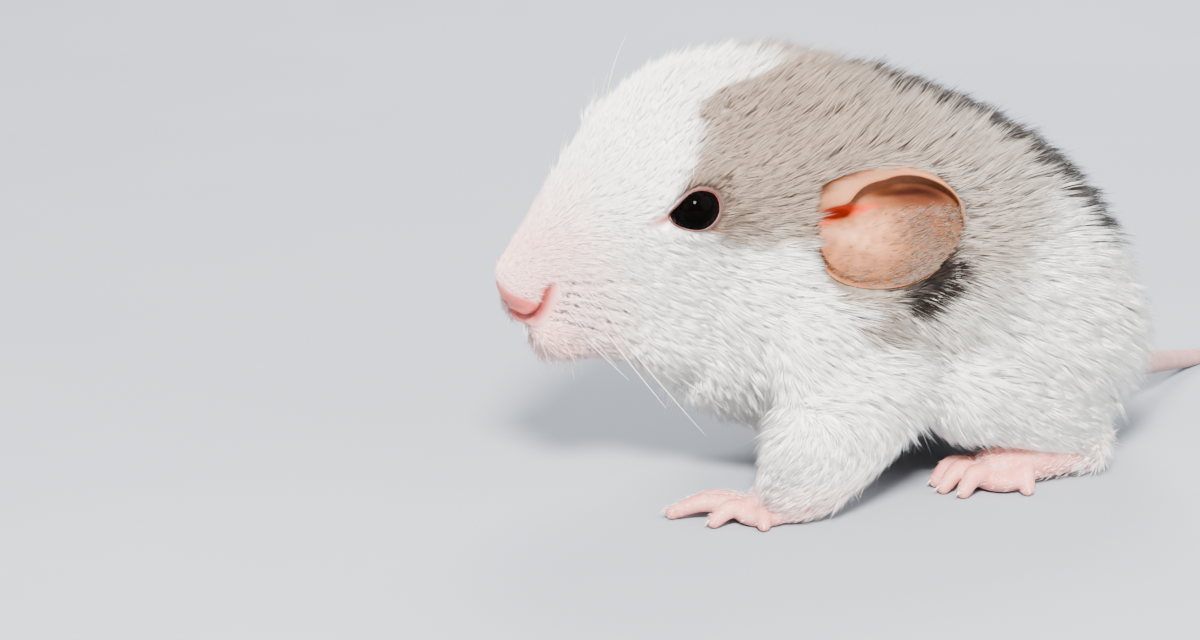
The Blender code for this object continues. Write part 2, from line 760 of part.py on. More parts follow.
def foot_form(name, side, home, shift, form, grow, voxel):
    """The foot's smooth mass, before its claws, grown on every side by a few tenths of a millimetre."""
    masses = collection("foot_masses")
    for number, stops in enumerate(form["limb"]):
        stops = [(shifted(p, shift), r + grow) for p, r in stops]
        rounded_tube(f"limb{number}", stops, side, masses, samples=10)
    x, y, z = shifted(form["pad"]["centre"], shift)
    ball("pad", (x, y * side, z), [r + grow for r in form["pad"]["radii"]], masses, segments=18, rings=12)
    for number, stops in enumerate(shifted(form["digits"], shift)):
        digit(f"digit{number}", stops, [r + grow for r in form["digit_radii"]], side, masses)
    obj = fused(name, masses, home, voxel, FOOT_SMOOTHING)
    bpy.data.collections.remove(masses)
    return obj


def leg_side(plane, side, shift, cutters, offset):
    """A block filling everything on the leg's side of a foot's parting plane."""
    point = shifted(plane["point"], shift)
    back = {"point": point, "normal": [-c for c in plane["normal"]]}
    return half_space("leg_side", back, cutters, offset, side)


def foot(name, side, home, cutters, shift, form, budget):
    """A foot with its toes and claws, cut flat below and parted from the leg by its plane."""
    obj = thinned(foot_form(name, side, home, shift, form, 0.0, FOOT_VOXEL), budget)
    claws = collection("claws")
    for number, stops in enumerate(shifted(form["digits"], shift)):
        claw(f"claw{number}", stops, side, claws)
    joined(obj, claws)
    cut(obj, leg_side(form["plane"], side, shift, cutters, -GAP / 2))
    on_floor(obj, cutters)
    return finished(obj, name, "pink_skin", home)


def foot_room(side_name, part, cutters):
    """The space a foot takes out of the leg and the trunk, wider than the foot by the gap."""
    side, form, shift = SIDES[side_name], FEET[part], LIMBS[side_name][part + "_shift"]
    name = f"{part}_foot_room_{side_name}"
    obj = thinned(foot_form(name, side, cutters, shift, form, GAP + ROOM_EXTRA, ROOM_VOXEL), ROOM_BUDGET)
    return hidden(cut(obj, leg_side(form["plane"], side, shift, cutters, GAP / 2)))


def leg(name, whole, side, home, cutters, form, room, budget):
    """The part of the whole inside a rounded zone, less the room of its foot."""
    obj = thinned(copy_of(whole, name, home), budget)
    cut(obj, zone(name + "_zone", form, side, cutters), "INTERSECT")
    cut(obj, room)
    on_floor(obj, cutters)
    return finished(obj, name, "white_coat", home)


def face_route(whole, side, stops, depth=LINE_DEPTH):
    """Points just under the face along (x, angle) stops, found by looking in towards the head's axis."""
    points = [v.co for v in whole.data.vertices]
    tree = BVHTree.FromPolygons(points, [p.vertices for p in whole.data.polygons])
    pose = head_pose()
    points = []
    for x, turn in stops:
        turn = math.radians(turn)
        out = Vector((0.0, side * math.sin(turn), -math.cos(turn)))
        axis = Vector((x, 0.0, FACE_AXIS_HEIGHT)) * MM
        start, inward = pose @ (axis + out * (LINE_START * MM)), pose.to_3x3() @ -out
        hit = tree.ray_cast(start, inward)[0]
        points.append(hit + inward * (depth * MM))
    return points


def head(whole, home, cutters):
    """The head with sockets, lids, nostrils and the line of the mouth."""
    obj = thinned(copy_of(whole, "head", home), BUDGET["head"])
    pose = head_pose()
    behind = {"point": NECK_FRONT["point"], "normal": [-c for c in NECK_FRONT["normal"]]}
    cut(obj, half_space("neck_front", behind, cutters, -GAP / 2))
    lids = collection("lids")
    for side_name, side in SIDES.items():
        closed_tube(f"lid_{side_name}", lid_points(side), LID_THICKNESS, lids, pose=pose)
    joined(obj, lids)
    for side_name, side in SIDES.items():
        cut(obj, zone(f"fore_room_{side_name}", LIMBS[side_name]["fore_zone"], side, cutters, GAP))
        centre = pose @ side_point(EYE_CENTRE, side) / MM
        cut(obj, hidden(ball("socket", centre, (EYE_RADIUS + GAP,) * 3, cutters, segments=20, rings=12)))
        nostril = face_route(whole, side, NOSTRIL_STOPS)
        cut(obj, hidden(tube("nostril", nostril, NOSTRIL_RADII, cutters, 1, 9)))
    make_ear_room(obj, cutters)
    right, left = (face_route(whole, SIDES[name], MOUTH_STOPS) for name in ("right", "left"))
    widths = MOUTH_RADII[:0:-1] + MOUTH_RADII[1:]
    cut(obj, hidden(tube("mouth", right[:0:-1] + left[1:], widths, cutters, 1, 25)))
    philtrum = face_route(whole, SIDES["right"], PHILTRUM_STOPS)
    cut(obj, hidden(tube("philtrum", philtrum, PHILTRUM_RADII, cutters, 1, 5)))
    return finished(obj, "head", "white_coat", home)


def under_belly(cutters):
    """Everything below the belly, where only the legs reach."""
    return half_space("under_belly", {"point": (0.0, 0.0, BELLY_FLOOR), "normal": (0.0, 0.0, -1.0)}, cutters)


def neck(whole, home, cutters):
    obj = thinned(copy_of(whole, "neck", home), BUDGET["neck"])
    cut(obj, half_space("neck_front_side", NECK_FRONT, cutters, -GAP / 2))
    behind = {"point": NECK_BACK["point"], "normal": [-c for c in NECK_BACK["normal"]]}
    cut(obj, half_space("neck_back_side", behind, cutters, -GAP / 2))
    for side_name, side in SIDES.items():
        cut(obj, zone(f"fore_room_{side_name}", LIMBS[side_name]["fore_zone"], side, cutters, GAP))
    make_ear_room(obj, cutters)
    cut(obj, under_belly(cutters))
    return finished(obj, "neck", "white_coat", home)


def torso(whole, home, cutters, rooms):
    obj = thinned(copy_of(whole, "torso", home), BUDGET["torso"])
    cut(obj, half_space("torso_front", NECK_BACK, cutters, -GAP / 2))
    for side_name, side in SIDES.items():
        cut(obj, zone(f"fore_room_{side_name}", LIMBS[side_name]["fore_zone"], side, cutters, GAP))
        cut(obj, zone(f"hind_room_{side_name}", LIMBS[side_name]["hind_zone"], side, cutters, GAP))
    for room in rooms:
        cut(obj, room)
    cut(obj, under_belly(cutters))
    make_ear_room(obj, cutters)
    radius = TAIL_RADII[0] + TAIL_KNOB + GAP
    cut(obj, hidden(ball("tail_socket", TAIL_ROUTE[0], (radius,) * 3, cutters)))
    start = tail_rows()[: TAIL_STEPS + 1]
    cut(obj, hidden(tail_tube("tail_way_out", start, cutters, GAP)))
    return finished(obj, "torso", "hood_coat", home)


def tail_rows():
    """Points and radii along the whole tail, in millimetres."""
    return smooth_rows([(*p, r) for p, r in zip(TAIL_ROUTE, TAIL_RADII)], TAIL_PARTS * TAIL_STEPS + 1)


def tail_tube(name, rows, home, grow=0.0):
    return tube(name, [Vector(r[:3]) * MM for r in rows], rows[:, 3] + grow, home, TAIL_ROUNDNESS)


def tail(home, cutters):
    """The tail in a few lengths, each a tapered tube cut flat where it lies on the floor."""
    rows = tail_rows()
    for part in range(TAIL_PARTS):
        piece = rows[part * TAIL_STEPS : (part + 1) * TAIL_STEPS + 1].copy()
        name = f"tail_{part + 1}"
        if part:
            along = piece[1, :3] - piece[0, :3]
            piece[0, :3] += along / np.linalg.norm(along) * GAP
        obj = tail_tube(name, piece, home)
        if not part:
            roots = collection("tail_knob")
            ball("tail_knob", TAIL_ROUTE[0], (TAIL_RADII[0] + TAIL_KNOB,) * 3, roots, segments=14, rings=10)
            joined(obj, roots)
        on_floor(obj, cutters)
        finished(obj, name, "tail_skin", home)


def centre_on_floor(objects):
    """Moves the animal so that the middle of its box is over the origin."""
    low, high = np.full(3, 1e9), np.full(3, -1e9)
    for obj in objects:
        points = np.array([v.co for v in obj.data.vertices])
        low, high = np.minimum(low, points.min(0)), np.maximum(high, points.max(0))
    shift = Vector((-(low[0] + high[0]) / 2, -(low[1] + high[1]) / 2, 0.0))
    for obj in objects:
        obj.data.transform(Matrix.Translation(shift))
    return shift


def build():
    clear_scene()
    rat, cutters = collection("rat"), collection("cutters")
    cutters.hide_render = True
    whole = whole_flesh(cutters)
    pairs = [(part, side_name) for part in FEET for side_name in SIDES]
    rooms = {pair: foot_room(pair[1], pair[0], cutters) for pair in pairs}
    head(whole, rat, cutters)
    neck(whole, rat, cutters)
    torso(whole, rat, cutters, rooms.values())
    for side_name, side in SIDES.items():
        eye(f"eye_{side_name}", side, rat)
        ear(f"ear_{side_name}", side_name, rat)
        for part, form in FEET.items():
            limb, room = LIMBS[side_name], rooms[part, side_name]
            node = f"{part}_leg_{side_name}"
            leg(node, whole, side, rat, cutters, limb[part + "_zone"], room, BUDGET[part + "_leg"])
            foot_name, budget = f"{part}_foot_{side_name}", BUDGET[part + "_foot"]
            foot(foot_name, side, rat, cutters, limb[part + "_shift"], form, budget)
    tail(rat, cutters)
    shift = centre_on_floor(list(rat.objects))
    for helper in list(cutters.objects):
        bpy.data.objects.remove(helper, do_unlink=True)
    return shift


SHIFT = build()
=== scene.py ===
"""Skin, coat, ears, eyes, feet, tail and whiskers of a young pet rat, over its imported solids.

Forms are worked out in millimetres in the body's own frame, where the nose points to -X and the
left side is towards -Y, and are put into the model's frame in metres as each mesh is made.
"""

import math

import bmesh
import bpy
import numpy as np
from mathutils import Matrix, Vector
from mathutils.bvhtree import BVHTree
from mathutils.kdtree import KDTree


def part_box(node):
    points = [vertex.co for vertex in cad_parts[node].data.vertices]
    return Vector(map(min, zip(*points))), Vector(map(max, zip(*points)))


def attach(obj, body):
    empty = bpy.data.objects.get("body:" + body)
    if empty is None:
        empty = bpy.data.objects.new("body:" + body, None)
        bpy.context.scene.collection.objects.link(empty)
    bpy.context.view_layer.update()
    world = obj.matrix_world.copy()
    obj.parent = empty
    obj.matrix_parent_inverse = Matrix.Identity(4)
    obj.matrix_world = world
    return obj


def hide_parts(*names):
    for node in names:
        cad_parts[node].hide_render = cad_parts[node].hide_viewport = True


bl_info = {
    "name": "Young pet rat",
    "version": (1, 0, 0),
    "blender": (4, 5, 0),
    "location": "View3D > Sidebar > Rat",
    "description": "Builds the skin, coat, ears, eyes, feet, tail and whiskers of a young pet rat",
    "category": "Object",
}

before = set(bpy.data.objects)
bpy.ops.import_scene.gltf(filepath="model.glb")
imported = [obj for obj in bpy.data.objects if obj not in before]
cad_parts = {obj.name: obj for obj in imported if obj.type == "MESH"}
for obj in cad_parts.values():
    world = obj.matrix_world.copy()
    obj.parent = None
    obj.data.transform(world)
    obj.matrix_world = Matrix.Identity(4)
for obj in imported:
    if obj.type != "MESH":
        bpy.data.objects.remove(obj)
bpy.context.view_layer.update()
MM = 0.001
SIDES = {"left": -1.0, "right": 1.0}
SEED = 7

# The head, in its own frame: x runs back from the nose tip, z up from the nose tip
NOSE_TIP = (-47.2, 0.4, 29.0)
HEAD_YAW = -6.0
HEAD_PITCH = -4.0
HEAD_ROLL = 20.0
# Each station is x, top, widest height, bottom and half width
HEAD_STATIONS = (
    (0.0, 1.1, -0.6, -1.6, 1.5),
    (1.2, 2.6, -0.8, -3.0, 2.7),
    (3.0, 4.8, -1.4, -5.4, 3.8),
    (6.0, 8.6, -2.2, -8.6, 5.6),
    (9.0, 12.3, -2.4, -10.6, 7.5),
    (13.0, 16.9, -1.8, -12.0, 9.9),
    (17.0, 20.4, -0.8, -12.9, 11.9),
    (21.0, 22.5, 0.4, -13.8, 13.3),
    (26.0, 23.5, 1.6, -15.4, 14.4),
    (31.0, 23.5, 2.4, -16.6, 15.0),
    (36.0, 23.2, 3.0, -17.2, 15.2),
    (42.0, 22.0, 3.0, -17.5, 15.2),
)
HEAD_FULLNESS = 2.5
# Swellings of the head, each as centre and radii
WHISKER_PAD = ((8.4, 3.6, -5.6), (5.0, 3.4, 4.2))
CHEEK = ((24.0, 8.0, -5.6), (11.0, 6.8, 8.6))
CHIN = ((10.8, 0.0, -10.2), (5.0, 3.5, 3.2))
# Lines on the face: each stop is a place along the head and an angle round it from straight below
FACE_AXIS_HEIGHT = -2.0
NOSTRIL_STOPS = ((2.5, 26.0), (3.1, 50.0), (3.6, 76.0), (4.0, 100.0), (4.3, 124.0))
MOUTH_STOPS = ((3.3, 1.5), (4.5, 7), (5.6, 20), (6.9, 34), (8.3, 45), (10, 54), (12, 61))
PHILTRUM_STOPS = ((1.2, 0.0), (2.4, 0.0), (3.6, 0.0))
# Whiskers stand in rows on each pad, found by looking in towards an axis of their own
WHISKER_ROWS = 5
WHISKER_AXIS_HEIGHT = -2.5

EYE_RADIUS = 3.05
EYE_CENTRE = (19.4, 9.5, 11.8)
EYE_OUTWARD = (-0.36, 0.84, 0.34)
# How far the lids open from the middle, in degrees: to the back corner, upwards and to the front
LID_OPENING = {"left": (66.0, 50.0, 90.0), "right": (64.0, 47.0, 78.0)}
LID_THICKNESS = 0.24
# How far the eye is set in, by side
EYE_INSET = {-1.0: 0.0, 1.0: 0.6}
# How far from the eye's centre the skin counts as lid
LID_REACH = 6.0

EAR_ROOT = (37.6, 12.4, 5.9)
EAR_DIRECTIONS = {
    "left": ((0.89, -0.45, 0.08), (-0.45, -0.88, 0.15)),
    "right": ((0.80, 0.52, -0.24), (-0.52, 0.84, 0.12)),
}
EAR_CENTRE = (7.5, -0.9)
EAR_HALF_LENGTH = 8.6
EAR_HALF_HEIGHT = 6.85
EAR_LOWER = 0.94
EAR_CANAL = (1.6, 1.4)
EAR_DEPTH = 4.2
EAR_THICKNESS = 0.75
EAR_FLAT = 0.78
# How square the rim is in front and behind, for its upper and its lower half
EAR_CORNERS = {"upper": (0.62, 1.0), "lower": (0.84, 1.14)}

TORSO_STATIONS = (
    (-24.0, 50.6, 30.0, 12.2, 11.0),
    (-17.0, 54.0, 29.0, 8.2, 14.8),
    (-9.0, 54.2, 27.0, 6.6, 17.4),
    (0.0, 51.8, 24.5, 5.6, 18.8),
    (8.0, 49.2, 22.0, 5.2, 20.4),
    (15.0, 46.4, 20.0, 5.2, 21.4),
    (22.5, 42.4, 18.5, 5.5, 21.4),
    (29.0, 37.4, 16.5, 5.2, 19.6),
    (34.0, 31.2, 15.5, 5.4, 16.0),
    (37.2, 24.4, 14.8, 7.2, 11.0),
    (38.9, 18.6, 14.2, 10.6, 5.0),
)
TORSO_FULLNESS = 2.35
# The lowest that the skin and coat may reach, and the feet and tail, just off the floor
SKIN_FLOOR = 0.12
FOOT_FLOOR = 0.02
# The depth of the coat on the back that its other depths go with
FULL_DEPTH = 2.8
TAIL_BASE = ((36.5, 0.5, 9.0), (6.0, 4.6, 4.2))
# Per side: masses as centre and radii, and limbs as rows of x, y, z and radius
MASSES = {
    "left": (((-8.0, 13.0, 20.0), (11.0, 6.8, 13.0)), ((20.0, 13.4, 16.5), (16.0, 9.2, 14.0))),
    "right": (((-6.0, 13.0, 20.0), (11.0, 6.8, 13.0)), ((21.0, 13.4, 16.5), (16.0, 9.2, 14.0))),
}
LIMBS = {
    "left": (
        ((-6.0, 13.6, 14.6, 9.4), (-11.0, 15.8, 10.2, 8.2), (-15.3, 17.3, 6.9, 6.3), (-18.3, 17.6, 4.5, 4.3)),
        ((7.0, 17.0, 13.0, 6.8), (17.0, 18.0, 9.0, 6.0), (23.4, 17.4, 5.6, 4.8), (24.6, 17.4, 4.2, 4.0)),
    ),
    "right": (
        ((2.0, 13.6, 15.0, 7.6), (5.2, 13.6, 10.0, 6.0), (6.0, 12.6, 6.4, 5.0), (4.0, 11.9, 4.2, 3.9)),
        ((14.0, 17.0, 13.0, 6.8), (25.0, 17.6, 9.0, 6.0), (31.6, 17.2, 5.6, 4.8), (33.0, 17.2, 4.2, 4.0)),
    ),
}

# Feet as on the left side: the palm or sole as rows of x, y, z, radius, then toes as base, knuckle, tip
FEET = {
    "fore": {
        "limb": ((-14.2, 18.2, 4.8, 3.4), (-17.0, 17.8, 3.3, 3.0), (-20.4, 15.8, 2.1, 2.3)),
        "pad": ((-20.4, 15.6, 1.3), (3.7, 3.6, 1.6)),
        "toes": (
            ((-21.2, 13.9, 1.6), (-23.8, 10.4, 2.0), (-25.6, 7.9, 0.9)),
            ((-21.9, 14.4, 1.7), (-26.2, 11.6, 2.1), (-29.5, 9.9, 0.9)),
            ((-21.9, 15.4, 1.7), (-24.6, 15.2, 2.1), (-26.8, 15.2, 0.9)),
            ((-20.4, 16.4, 1.6), (-21.4, 17.6, 1.9), (-22.2, 19.0, 0.9)),
        ),
        "toe_radii": (1.3, 1.15, 0.85),
        "shift": {"left": (0.0, 0.0, 0.0), "right": (21.5, -6.5, 0.0)},
    },
    "hind": {
        "limb": (
            (24.0, 17.4, 3.6, 3.1),
            (19.0, 17.6, 3.6, 3.0),
            (14.6, 17.4, 3.0, 2.9),
            (11.4, 17.2, 2.4, 2.6),
        ),
        "pad": ((12.0, 17.4, 1.7), (3.8, 4.3, 1.9)),
        "toes": (
            ((14.2, 14.8, 1.6), (11.4, 12.4, 1.8), (9.2, 11.2, 0.9)),
            ((10.2, 15.4, 2.0), (7.3, 14.2, 2.6), (5.2, 14.0, 0.9)),
            ((9.9, 16.8, 2.0), (6.9, 16.6, 2.7), (4.6, 16.6, 0.9)),
            ((10.1, 18.2, 2.0), (7.6, 18.9, 2.6), (5.7, 19.3, 0.9)),
            ((14.6, 19.0, 2.2), (13.8, 20.6, 2.4), (13.2, 22.0, 0.9)),
        ),
        "toe_radii": (1.45, 1.25, 0.9),
        "shift": {"left": (0.0, 0.0, 0.0), "right": (8.6, 0.0, 0.0)},
    },
}

# The tail: x, y, z and radius along its route over the floor
TAIL_ROUTE = (
    (35.0, 0.2, 10.4, 2.9),
    (38.2, 0.6, 9.4, 2.4),
    (44.0, 2.2, 7.2, 2.0),
    (51.0, 6.1, 5.0, 1.62),
    (56.6, 10.3, 3.4, 1.42),
    (62.5, 14.2, 1.9, 1.26),
    (68.0, 16.8, 1.0, 1.1),
    (78.0, 19.4, 0.8, 0.9),
    (88.0, 18.4, 0.62, 0.72),
    (96.0, 13.8, 0.45, 0.55),
    (99.6, 8.8, 0.3, 0.4),
)
# The length of one ring of its scales
TAIL_RING = 0.55

# The view: how the camera stands round the point that it looks at, in the body's frame
VIEW_POINT = (-33.079, 1.743, 22.371)
VIEW_AZIMUTH = -28.0
VIEW_ELEVATION = 15.0
VIEW_DISTANCE = 450.0
VIEW_LENS = 112.5
# Half the side of the floor, in metres
FLOOR_REACH = 3.0


def turned(axis, degrees):
    return np.array(Matrix.Rotation(math.radians(degrees), 3, axis))


HEAD_TURN = turned("Z", -HEAD_YAW) @ turned("Y", HEAD_PITCH) @ turned("X", HEAD_ROLL)


def head_to_body(points):
    return np.asarray(points, float) @ HEAD_TURN.T + np.array(NOSE_TIP)


def body_to_head(points):
    return (np.asarray(points, float) - np.array(NOSE_TIP)) @ HEAD_TURN


def on_side(point, side):
    """A point given for the right side, on the side asked for."""
    return np.array((point[0], point[1] * side, point[2]), float)


def model_shift():
    """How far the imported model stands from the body's frame, in metres, by the left eye's box."""
    low, high = (np.array(corner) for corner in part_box("eye_left"))
    return (low + high) / 2 - head_to_body(on_side(EYE_CENTRE, SIDES["left"])) * MM


SHIFT = model_shift()
TO_MODEL = Matrix.Translation(Vector(SHIFT)) @ Matrix.Scale(MM, 4)


def unit(v):
    v = np.asarray(v, float)
    return v / np.maximum(np.linalg.norm(v, axis=-1, keepdims=True), 1e-9)


def ramp(x, low, high):
    """Smooth step from 0 at low to 1 at high."""
    t = np.clip((np.asarray(x, float) - low) / (high - low), 0.0, 1.0)
    return t * t * (3.0 - 2.0 * t)


def bell(x, width):
    return np.exp(-((np.asarray(x, float) / width) ** 2))


def spot(across, up):
    """1 in the middle of an oval and less outside, by distances given as shares of its half sizes."""
    return bell(np.hypot(across, up), 1.0)


def signed_power(wave, power):
    """A sine or cosine raised to a power, with its sign kept."""
    return np.sign(wave) * np.abs(wave) ** power


def smooth_rows(rows, count):
    """Catmull-Rom values through rows of numbers, spaced evenly by row."""
    rows = np.array(rows, float)
    padded = np.vstack([2 * rows[0] - rows[1], rows, 2 * rows[-1] - rows[-2]])
    at = np.linspace(0, len(rows) - 1, count)
    first = np.minimum(at.astype(int), len(rows) - 2)
    t = (at - first)[:, None]
    a, b, c, d = (padded[first + k] for k in range(4))
    return 0.5 * (2 * b + (c - a) * t + (2 * a - 5 * b + 4 * c - d) * t**2 + (3 * b - a - 3 * c + d) * t**3)


def waves(points, scale, seed):
    """Soft noise between -1 and 1 from a few sine waves, the same at the same place."""
    rng = np.random.default_rng(seed)
    total = np.zeros(len(points))
    for octave in range(3):
        for _ in range(3):
            way = unit(rng.normal(size=3)) * 2 * math.pi / scale * 1.9**octave
            total += np.sin(points @ way + rng.uniform(0, 6.3)) * 0.6**octave
    return np.clip(total / 3.4, -1, 1)


# Meshes


def new_object(name, mesh):
    obj = bpy.data.objects.new(name, mesh)
    bpy.context.scene.collection.objects.link(obj)
    return obj


def array_mesh(name, points, faces):
    """A mesh from arrays. Faces are rows of three or four corners, or a list of mixed ones."""
    mesh = bpy.data.meshes.new(name)
    if isinstance(faces, np.ndarray):
        corners = faces.shape[1]
        mesh.vertices.add(len(points))
        mesh.vertices.foreach_set("co", np.ascontiguousarray(points, np.float32).ravel())
        mesh.loops.add(faces.size)
        mesh.loops.foreach_set("vertex_index", np.ascontiguousarray(faces, np.int32).ravel())
        mesh.polygons.add(len(faces))
        mesh.polygons.foreach_set("loop_start", np.arange(0, faces.size, corners, dtype=np.int32))
        mesh.update(calc_edges=True)
    else:
        mesh.from_pydata([tuple(p) for p in points], [], [tuple(int(i) for i in f) for f in faces])
    return mesh


def values_of(items, field, width, kind=float):
    """A field of a mesh's items, as rows of this width."""
    values = np.empty(len(items) * width, kind)
    items.foreach_get(field, values)
    return values.reshape(-1, width)


def mesh_arrays(mesh):
    """Points and triangles of a mesh."""
    mesh.calc_loop_triangles()
    return values_of(mesh.vertices, "co", 3), values_of(mesh.loop_triangles, "vertices", 3, np.int32)


def mesh_normals(mesh):
    return values_of(mesh.vertex_normals, "vector", 3)


def move_points(mesh, points):
    """Puts the mesh's points at these places."""
    mesh.vertices.foreach_set("co", points.ravel())
    mesh.update()


def face_outward(mesh):
    """Turns the faces of a closed mesh outwards."""
    work = bmesh.new()
    work.from_mesh(mesh)
    bmesh.ops.recalc_face_normals(work, faces=work.faces)
    work.to_mesh(mesh)
    work.free()


def applied(obj):
    """The object with what its modifiers make as its plain mesh, and without the modifiers."""
    bpy.context.view_layer.update()
    made = obj.evaluated_get(bpy.context.evaluated_depsgraph_get())
    mesh = bpy.data.meshes.new_from_object(made)
    obj.modifiers.clear()
    obj.data = mesh
    return obj


def set_attribute(mesh, name, values, kind="FLOAT"):
    """Stores one value, or one colour, for each point of the mesh."""
    layer = mesh.attributes.new(name, kind, "POINT")
    field = "value" if kind == "FLOAT" else "color"
    layer.data.foreach_set(field, np.ascontiguousarray(values, np.float32).ravel())


def finish_piece(obj, material, slot, *nodes):
    """Puts a piece into the model's frame, with its material and its body. The finish that it is given is not
    used.
    """
    obj.data.transform(TO_MODEL)
    obj.data.materials.clear()
    obj.data.materials.append(material)
    obj.data.shade_smooth()
    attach(obj, "root")
    if nodes:
        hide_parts(*nodes)


def closed_rings(rings):
    """Points and faces of a body through rings of equal length, closed by a point at each end."""
    count = len(rings[0])
    points = [rings[0].mean(0)] + [p for ring in rings for p in ring] + [rings[-1].mean(0)]
    faces = []
    for k in range(count):
        after = (k + 1) % count
        faces.append((0, 1 + after, 1 + k))
        for r in range(len(rings) - 1):
            low, high = 1 + r * count, 1 + (r + 1) * count
            faces.append((low + k, low + after, high + after, high + k))
        last = 1 + (len(rings) - 1) * count
        faces.append((last + k, last + after, len(points) - 1))
    return points, faces


def station_loft(stations, fullness, in_head=False, ring=36, steps=44):
    """A body through upright sections, each with its own top, widest height, bottom and half width."""
    angles = np.linspace(0, 2 * math.pi, ring, endpoint=False)
    across = signed_power(np.sin(angles), 2 / fullness)
    upward = signed_power(np.cos(angles), 2 / fullness)
    rings = []
    for x, top, waist, bottom, half in smooth_rows(stations, steps):
        height = np.where(upward > 0, upward * (top - waist), upward * (waist - bottom))
        points = np.stack([np.full(ring, x), across * half, waist + height], 1)
        rings.append(head_to_body(points) if in_head else points)
    return closed_rings(rings)


def ball(centre, radii, in_head=False, segments=24, rings=14):
    """An ellipsoid."""
    centre, pole = np.array(centre), (0, 0, radii[2])
    turn = np.linspace(0, 2 * math.pi, segments, endpoint=False)
    rows = []
    for k in range(1, rings):
        polar = math.pi * k / rings
        level = np.full(segments, np.cos(polar))
        ring = np.stack([np.sin(polar) * np.cos(turn), np.sin(polar) * np.sin(turn), level], 1)
        rows.append(ring * np.array(radii) + centre)
    points, faces = closed_rings(rows)
    points[0], points[-1] = centre + pole, centre - pole
    return list(head_to_body(points)) if in_head else points, faces


def beads(rows, side, count):
    """A limb as close-set balls along its rows, which a remesh turns into one smooth form."""
    spots = smooth_rows(rows, count)
    return [ball(on_side(spot[:3], side), (spot[3],) * 3, segments=18, rings=10) for spot in spots]


def fused(name, parts, voxel, smoothing):
    """One smooth closed object from overlapping closed parts."""
    work = bmesh.new()
    for points, faces in parts:
        verts = [work.verts.new(tuple(p)) for p in points]
        for face in faces:
            work.faces.new([verts[i] for i in face])
    bmesh.ops.recalc_face_normals(work, faces=work.faces)
    mesh = bpy.data.meshes.new(name)
    work.to_mesh(mesh)
    work.free()
    return remeshed(new_object(name, mesh), voxel, smoothing)


def remeshed(obj, voxel, smoothing):
    """The object with even faces of one size, softened."""
    remesh = obj.modifiers.new("form", "REMESH")
    remesh.mode = "VOXEL"
    remesh.voxel_size = voxel
    soften = obj.modifiers.new("soften", "SMOOTH")
    soften.factor = 0.5
    soften.iterations = smoothing
    return applied(obj)


# Materials


def tinted(colour, *factors):
    """A colour times one factor, or times a factor for each channel."""
    return [c * f for c, f in zip(colour, factors * (3 // len(factors)))]


class Tree:
    """Short ways to add and link nodes."""

    def __init__(self, tree):
        self.tree = tree

    def add(self, kind, inputs=(), **settings):
        """A new node with its settings, and its inputs linked or set."""
        node = self.tree.nodes.new(kind)
        for key, value in settings.items():
            setattr(node, key, value)
        for key, value in dict(inputs).items():
            self.put(value, node.inputs[key])
        return node

    def put(self, value, socket):
        """Links a socket, or sets a constant."""
        if isinstance(value, bpy.types.NodeSocket):
            self.tree.links.new(value, socket)
        else:
            socket.default_value = value

    def dress(self, values):
        """Links or sets the named sockets of a material's shader."""
        for name, value in values.items():
            self.put(value, self.tree.nodes["Principled BSDF"].inputs[name])

    def attribute(self, name):
        return self.add("ShaderNodeAttribute", attribute_name=name).outputs["Fac"]

    def object_point(self, scale=(1.0, 1.0, 1.0)):
        """Object coordinates in millimetres, stretched by scale."""
        place = self.add("ShaderNodeTexCoord").outputs["Object"]
        scale = [1000.0 * s for s in scale]
        return self.add("ShaderNodeMapping", {"Vector": place, "Scale": scale}).outputs["Vector"]

    def noise(self, vector, scale, detail=3.0):
        inputs = {"Vector": vector, "Scale": scale, "Detail": detail, "Roughness": 0.55}
        return self.add("ShaderNodeTexNoise", inputs).outputs["Fac"]

    def cells(self, vector, scale):
        inputs = {"Vector": vector, "Scale": scale}
        return self.add("ShaderNodeTexVoronoi", inputs, feature="DISTANCE_TO_EDGE").outputs["Distance"]

    def spread(self, value, low, high, out_low=0.0, out_high=1.0):
        """A smooth step between two values, from one output to another."""
        inputs = {"Value": value, "From Min": low, "From Max": high, "To Min": out_low, "To Max": out_high}
        return self.add("ShaderNodeMapRange", inputs, interpolation_type="SMOOTHSTEP").outputs["Result"]

    def math(self, operation, a, b=0.0):
        return self.add("ShaderNodeMath", {0: a, 1: b}, operation=operation).outputs[0]

    def mix(self, factor, a, b):
        a, b = (v if isinstance(v, bpy.types.NodeSocket) else (*v[:3], 1.0) for v in (a, b))
        return self.add("ShaderNodeMix", {"Factor": factor, 6: a, 7: b}, data_type="RGBA").outputs[2]

    def bump(self, height, strength, distance):
        inputs = {"Height": height, "Strength": strength, "Distance": distance * MM}
        return self.add("ShaderNodeBump", inputs).outputs["Normal"]


def new_material(name):
    """A Principled material and its tree helper."""
    material = bpy.data.materials.new(name)
    material.use_nodes = True
    return material, Tree(material.node_tree)


def new_group(name, kind, inputs, outputs):
    """The tree helper of a new node group with these sockets, each a name and a kind."""
    group = bpy.data.node_groups.new(name, f"{kind}NodeTree")
    for way, sockets in (("INPUT", inputs), ("OUTPUT", outputs)):
        for label, socket in sockets:
            group.interface.new_socket(label, in_out=way, socket_type=f"NodeSocket{socket}")
    return Tree(group)


